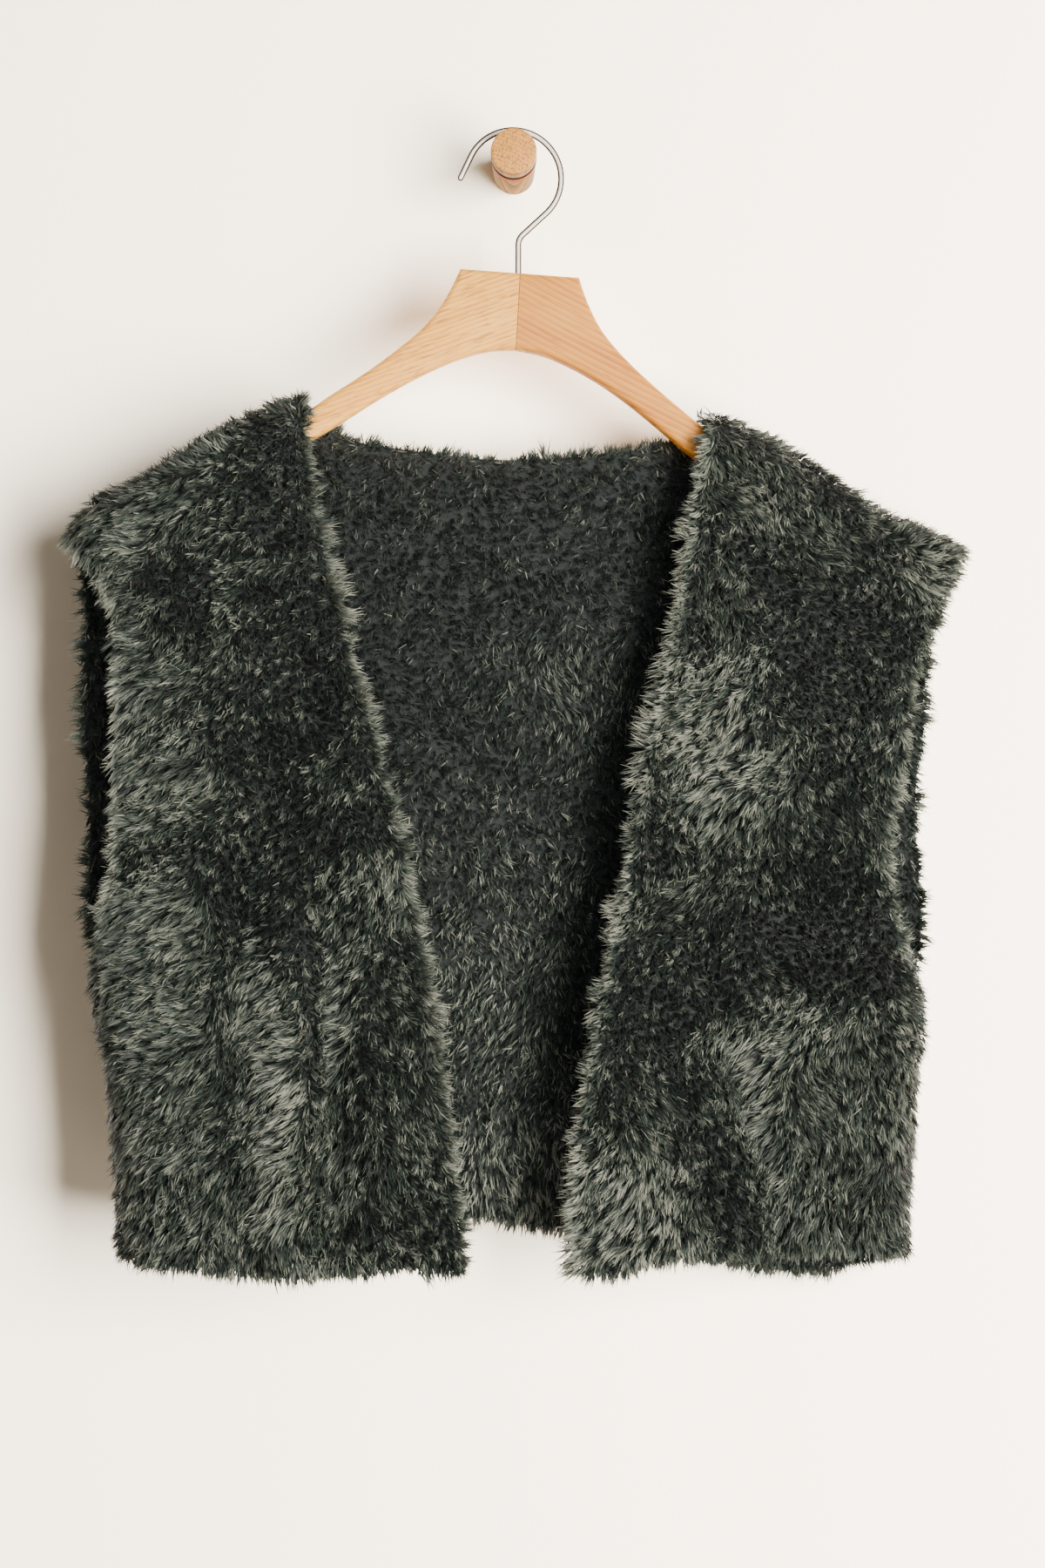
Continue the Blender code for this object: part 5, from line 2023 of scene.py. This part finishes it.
@dataclass(frozen=True)
class Vest:
    """The whole vest: backings, pile and edge fringe of its three panels."""

    plans: tuple[PanelPlan, ...] = (
        PanelPlan(left_front(), LEFT_NAP, INSIDE_FRONT_NAP, 88_000, 30_000, False),
        PanelPlan(right_front(), RIGHT_NAP, INSIDE_FRONT_NAP, 88_000, 30_000, False),
        PanelPlan(back(), OUTSIDE_BACK_NAP, INSIDE_BACK_NAP, 88_000, 84_000, True),
    )
    short_pile: LockShape = LockShape()
    long_pile: LockShape = LockShape(length=8.4, width=1.5)

    def build(self) -> None:
        pile, backing = PileFinish().make(), BackingFinish().make()
        for number, plan in enumerate(self.plans):
            panel = plan.panel
            cloth = panel.backing(backing)
            for outside, nap, locks in ((True, plan.outer_nap, plan.outer_locks),
                                        (False, plan.inner_nap, plan.inner_locks)):
                gathered = LockMesh(seed=100 + 10 * number + outside)
                shape = self.long_pile if outside == plan.long_outside else self.short_pile
                PileFace(panel, outside, nap, locks, shape, seed=5 + number).grow(gathered)
                face = "outside" if outside else "inside"
                gathered.piece(f"{panel.name}_pile_{face}", pile)
            gathered = LockMesh(seed=200 + number)
            Fringe(panel).grow(gathered)
            gathered.piece(f"{panel.name}_pile_edges", pile)
            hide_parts(panel.node)


@dataclass(frozen=True)
class Hanger:
    """The wooden hanger with its steel hook."""

    left: WoodHalf = WoodHalf(
        name="hanger_left_half", node="hanger_wood_left", side=-1,
        finish=WoodFinish(name="beech_sanded_hanger_left_half", pale="#ffc25c", middle="#fcb24a",
                          dark="#e29535", pore="#a05f1c", ring_mm=2.6, grain_deg=21.0,
                          pore_share=0.6),
        top=((-31.0, -68.1), (-35.0, -76.8), (-40.2, -86.3), (-46.7, -95.6), (-54.8, -104.4),
             (-64.2, -112.4), (-80.0, -124.6), (-94.0, -134.2), (-106.0, -142.0),
             (-116.0, -149.2), (-127.0, -155.4)),
        arm=((-147.0, -164.8), (-168.0, -175.6), (-186.0, -186.7), (-201.5, -196.7)),
        under=((-14.3, -114.4), (-30.6, -119.0), (-46.0, -125.6), (-62.5, -134.2),
               (-80.4, -144.8), (-96.7, -155.4), (-118.0, -168.4)),
    )
    right: WoodHalf = WoodHalf(
        name="hanger_right_half", node="hanger_wood_right", side=1,
        finish=WoodFinish(name="beech_sanded_hanger_right_half", pale="#de9a3d", middle="#d1882d",
                          dark="#bd7222", pore="#a05f1c", ring_mm=3.4, grain_deg=-27.0,
                          pore_share=0.4),
        top=((37.4, -71.9), (40.4, -81.0), (44.5, -91.0), (50.0, -101.2), (57.4, -110.8),
             (66.0, -119.9), (79.8, -132.6), (92.7, -143.6), (102.0, -151.2), (108.5, -156.4),
             (125.0, -165.0)),
        arm=((149.0, -176.0), (163.0, -184.0), (179.0, -194.4), (203.3, -211.2)),
        under=((15.7, -116.2), (31.3, -122.4), (46.0, -130.2), (61.3, -140.2), (78.0, -153.0),
               (93.0, -165.4), (112.0, -180.6)),
    )
    hook: Hook = Hook()
    steel: SteelFinish = SteelFinish()

    def build(self) -> None:
        """Build both halves in beech and the hook in steel."""
        for half in (self.left, self.right):
            half.build()
            log.info("%s built", half.name)
        self.hook.build(self.steel.make())
        log.info("hook built")


# Stage


class Reach(Enum):
    """What a light falls on."""

    STAGE = "the stage alone"
    OBJECT = "the object alone, also through the wall"


@dataclass(frozen=True)
class Lamp:
    """An oblong soft light: place, width, height and aim in metres, and watts."""

    name: str
    at: Triple
    size: Pair
    power: float
    colour: str
    reach: Reach
    aim: Triple = (0.0, -0.06, -0.34)

    def build(self, stage: list[Object]) -> None:
        """Make the light, turn it to its aim and keep it off the stage or on it alone.

        Args:
            stage: the wall and the floor.
        """
        lamp = bpy.data.lights.new(self.name, "AREA")
        lamp.shape = "RECTANGLE"
        lamp.size, lamp.size_y = self.size
        lamp.energy = self.power
        lamp.color = linear(self.colour)[:3]
        thing = link_object(self.name, lamp)
        thing.location = self.at
        turn = (Vector(self.aim) - Vector(self.at)).to_track_quat("-Z", "Y")
        thing.rotation_euler = turn.to_euler()
        surfaces = bpy.data.collections.new(self.name + "_stage")
        for surface in stage:
            surfaces.objects.link(surface)
        thing.light_linking.receiver_collection = surfaces
        if self.reach is Reach.OBJECT:
            thing.light_linking.blocker_collection = surfaces
            for entry in surfaces.collection_objects:
                entry.light_linking.link_state = "EXCLUDE"


LAMPS = (
    Lamp("key", (1.25, -1.92, -0.42), (0.95, 1.05), 140.0, "#fff8ef", Reach.OBJECT),
    Lamp("key_on_wall", (1.6, -1.9, -0.5), (1.5, 2.2), 655.0, "#fff4e2", Reach.STAGE),
    Lamp("fill", (0.2, -2.7, 0.1), (1.8, 1.8), 22.0, "#f4faff", Reach.OBJECT),
    Lamp("back_key", (1.3, 2.0, 0.3), (0.9, 0.9), 70.0, "#fff9f2", Reach.OBJECT),
    Lamp("back_fill", (-1.6, 1.8, 0.0), (1.4, 1.4), 34.0, "#f8f9ff", Reach.OBJECT),
)


@dataclass(frozen=True)
class Studio:
    """A pale wall and floor, one soft key from the lower right, gentle fill, and the camera.

    The wall has a wider and stronger key of its own beside the object's, so that it stays pale
    beside dark pile. Two lights behind the wall reach the object alone, for the views from there.
    Places are in metres.
    """

    camera_at: Triple = (0.005, -1.450, -0.3625)
    focal_px: float = 2800.0
    frame_px: tuple[int, int] = (1200, 1800)
    sensor_mm: float = 36.0
    wall_colour: str = "#f4f0e9"
    wall_y: float = 0.0004
    wall_top: float = 2.4
    half_width: float = 3.0
    floor_z: float = -2.1
    floor_front: float = -4.5
    floor_stops: Stops = ((0.35, "#837b70"), (0.65, "#8f877c"))
    world_colour: str = "#fff0df"
    world_strength: float = 0.15

    def plane(self, name: str, corners: tuple[Triple, ...],
              finish: Material) -> Object:
        """A flat stage surface from its four corners.

        Args:
            name: its name.
            corners: the corners in order.
            finish: its material.

        Returns:
            The surface.
        """
        mesh = bpy.data.meshes.new(name)
        mesh.from_pydata(corners, [], [(0, 1, 2, 3)])
        surface = link_object(name, mesh)
        mesh.materials.append(finish)
        return surface

    def plaster(self) -> Material:
        """Plaster rolled with matt paint: a fine upright stipple; from behind it is see-through.

        Returns:
            The material.
        """
        made, tree, shader = new_material("painted_plaster")
        place = add_node(tree, "TexCoord").outputs["Object"]
        upright = add_node(tree, "Mapping", {"Scale": (1.0, 1.0, 0.45)},
                           {"Vector": place})
        stipple = add_node(tree, "TexNoise", {"Scale": 1 / (5 * MM), "Detail": 3.0},
                           {"Vector": upright.outputs["Vector"]})
        bump = add_node(tree, "Bump", {"Strength": 0.22, "Distance": 0.5 * MM},
                        {"Height": stipple.outputs["Fac"]})
        set_node(tree, shader,
                 {"Base Color": linear(self.wall_colour), "Roughness": 0.9,
                  "Specular IOR Level": 0.2}, {"Normal": bump.outputs["Normal"]})
        behind = add_node(tree, "NewGeometry").outputs["Backfacing"]
        clear = add_node(tree, "BsdfTransparent")
        mixed = add_node(tree, "MixShader",
                         links={0: behind, 1: shader.outputs["BSDF"], 2: clear.outputs["BSDF"]})
        output = tree.nodes["Material Output"]
        tree.links.new(mixed.outputs["Shader"], output.inputs["Surface"])
        return made

    def screed(self) -> Material:
        """Matt grey floor, mottled by noise, dark enough to keep the wall's shadows.

        Returns:
            The material.
        """
        made, tree, shader = new_material("smooth_screed")
        place = add_node(tree, "TexCoord").outputs["Object"]
        mottle = add_node(tree, "TexNoise", {"Scale": 1 / (60 * MM), "Detail": 3.0},
                          {"Vector": place})
        colour = add_node(tree, "ValToRGB", {"stops": self.floor_stops},
                          {"Fac": mottle.outputs["Fac"]})
        set_node(tree, shader, {"Roughness": 0.8}, {"Base Color": colour.outputs["Color"]})
        return made

    def build(self) -> None:
        """Wall, floor, lights, world and the camera."""
        low, wide, wall_y = self.floor_z, self.half_width, self.wall_y
        foot = ((wide, wall_y, low), (-wide, wall_y, low))
        wall = self.plane("wall", (*foot[::-1], (wide, wall_y, self.wall_top),
                                   (-wide, wall_y, self.wall_top)), self.plaster())
        floor = self.plane("floor", ((-wide, self.floor_front, low),
                                     (wide, self.floor_front, low), *foot), self.screed())
        for lamp in LAMPS:
            lamp.build([wall, floor])
        world = bpy.data.worlds.new("studio")
        bpy.context.scene.world = world
        world.use_nodes = True
        background = world.node_tree.nodes["Background"]
        background.inputs["Color"].default_value = linear(self.world_colour)
        background.inputs["Strength"].default_value = self.world_strength
        lens = bpy.data.cameras.new("camera")
        lens.sensor_width = self.sensor_mm
        lens.lens = self.sensor_mm * self.focal_px / max(self.frame_px)
        camera = link_object("camera", lens)
        camera.location = self.camera_at
        camera.rotation_euler = (math.radians(90), 0, 0)
        bpy.context.scene.camera = camera


def main() -> None:
    """Build the studio, the peg, the hanger and the vest."""
    logging.basicConfig(level=logging.INFO, format="%(message)s")
    Studio().build()
    Peg().build()
    log.info("peg built")
    Hanger().build()
    Vest().build()


if __name__ == "__main__":
    main()
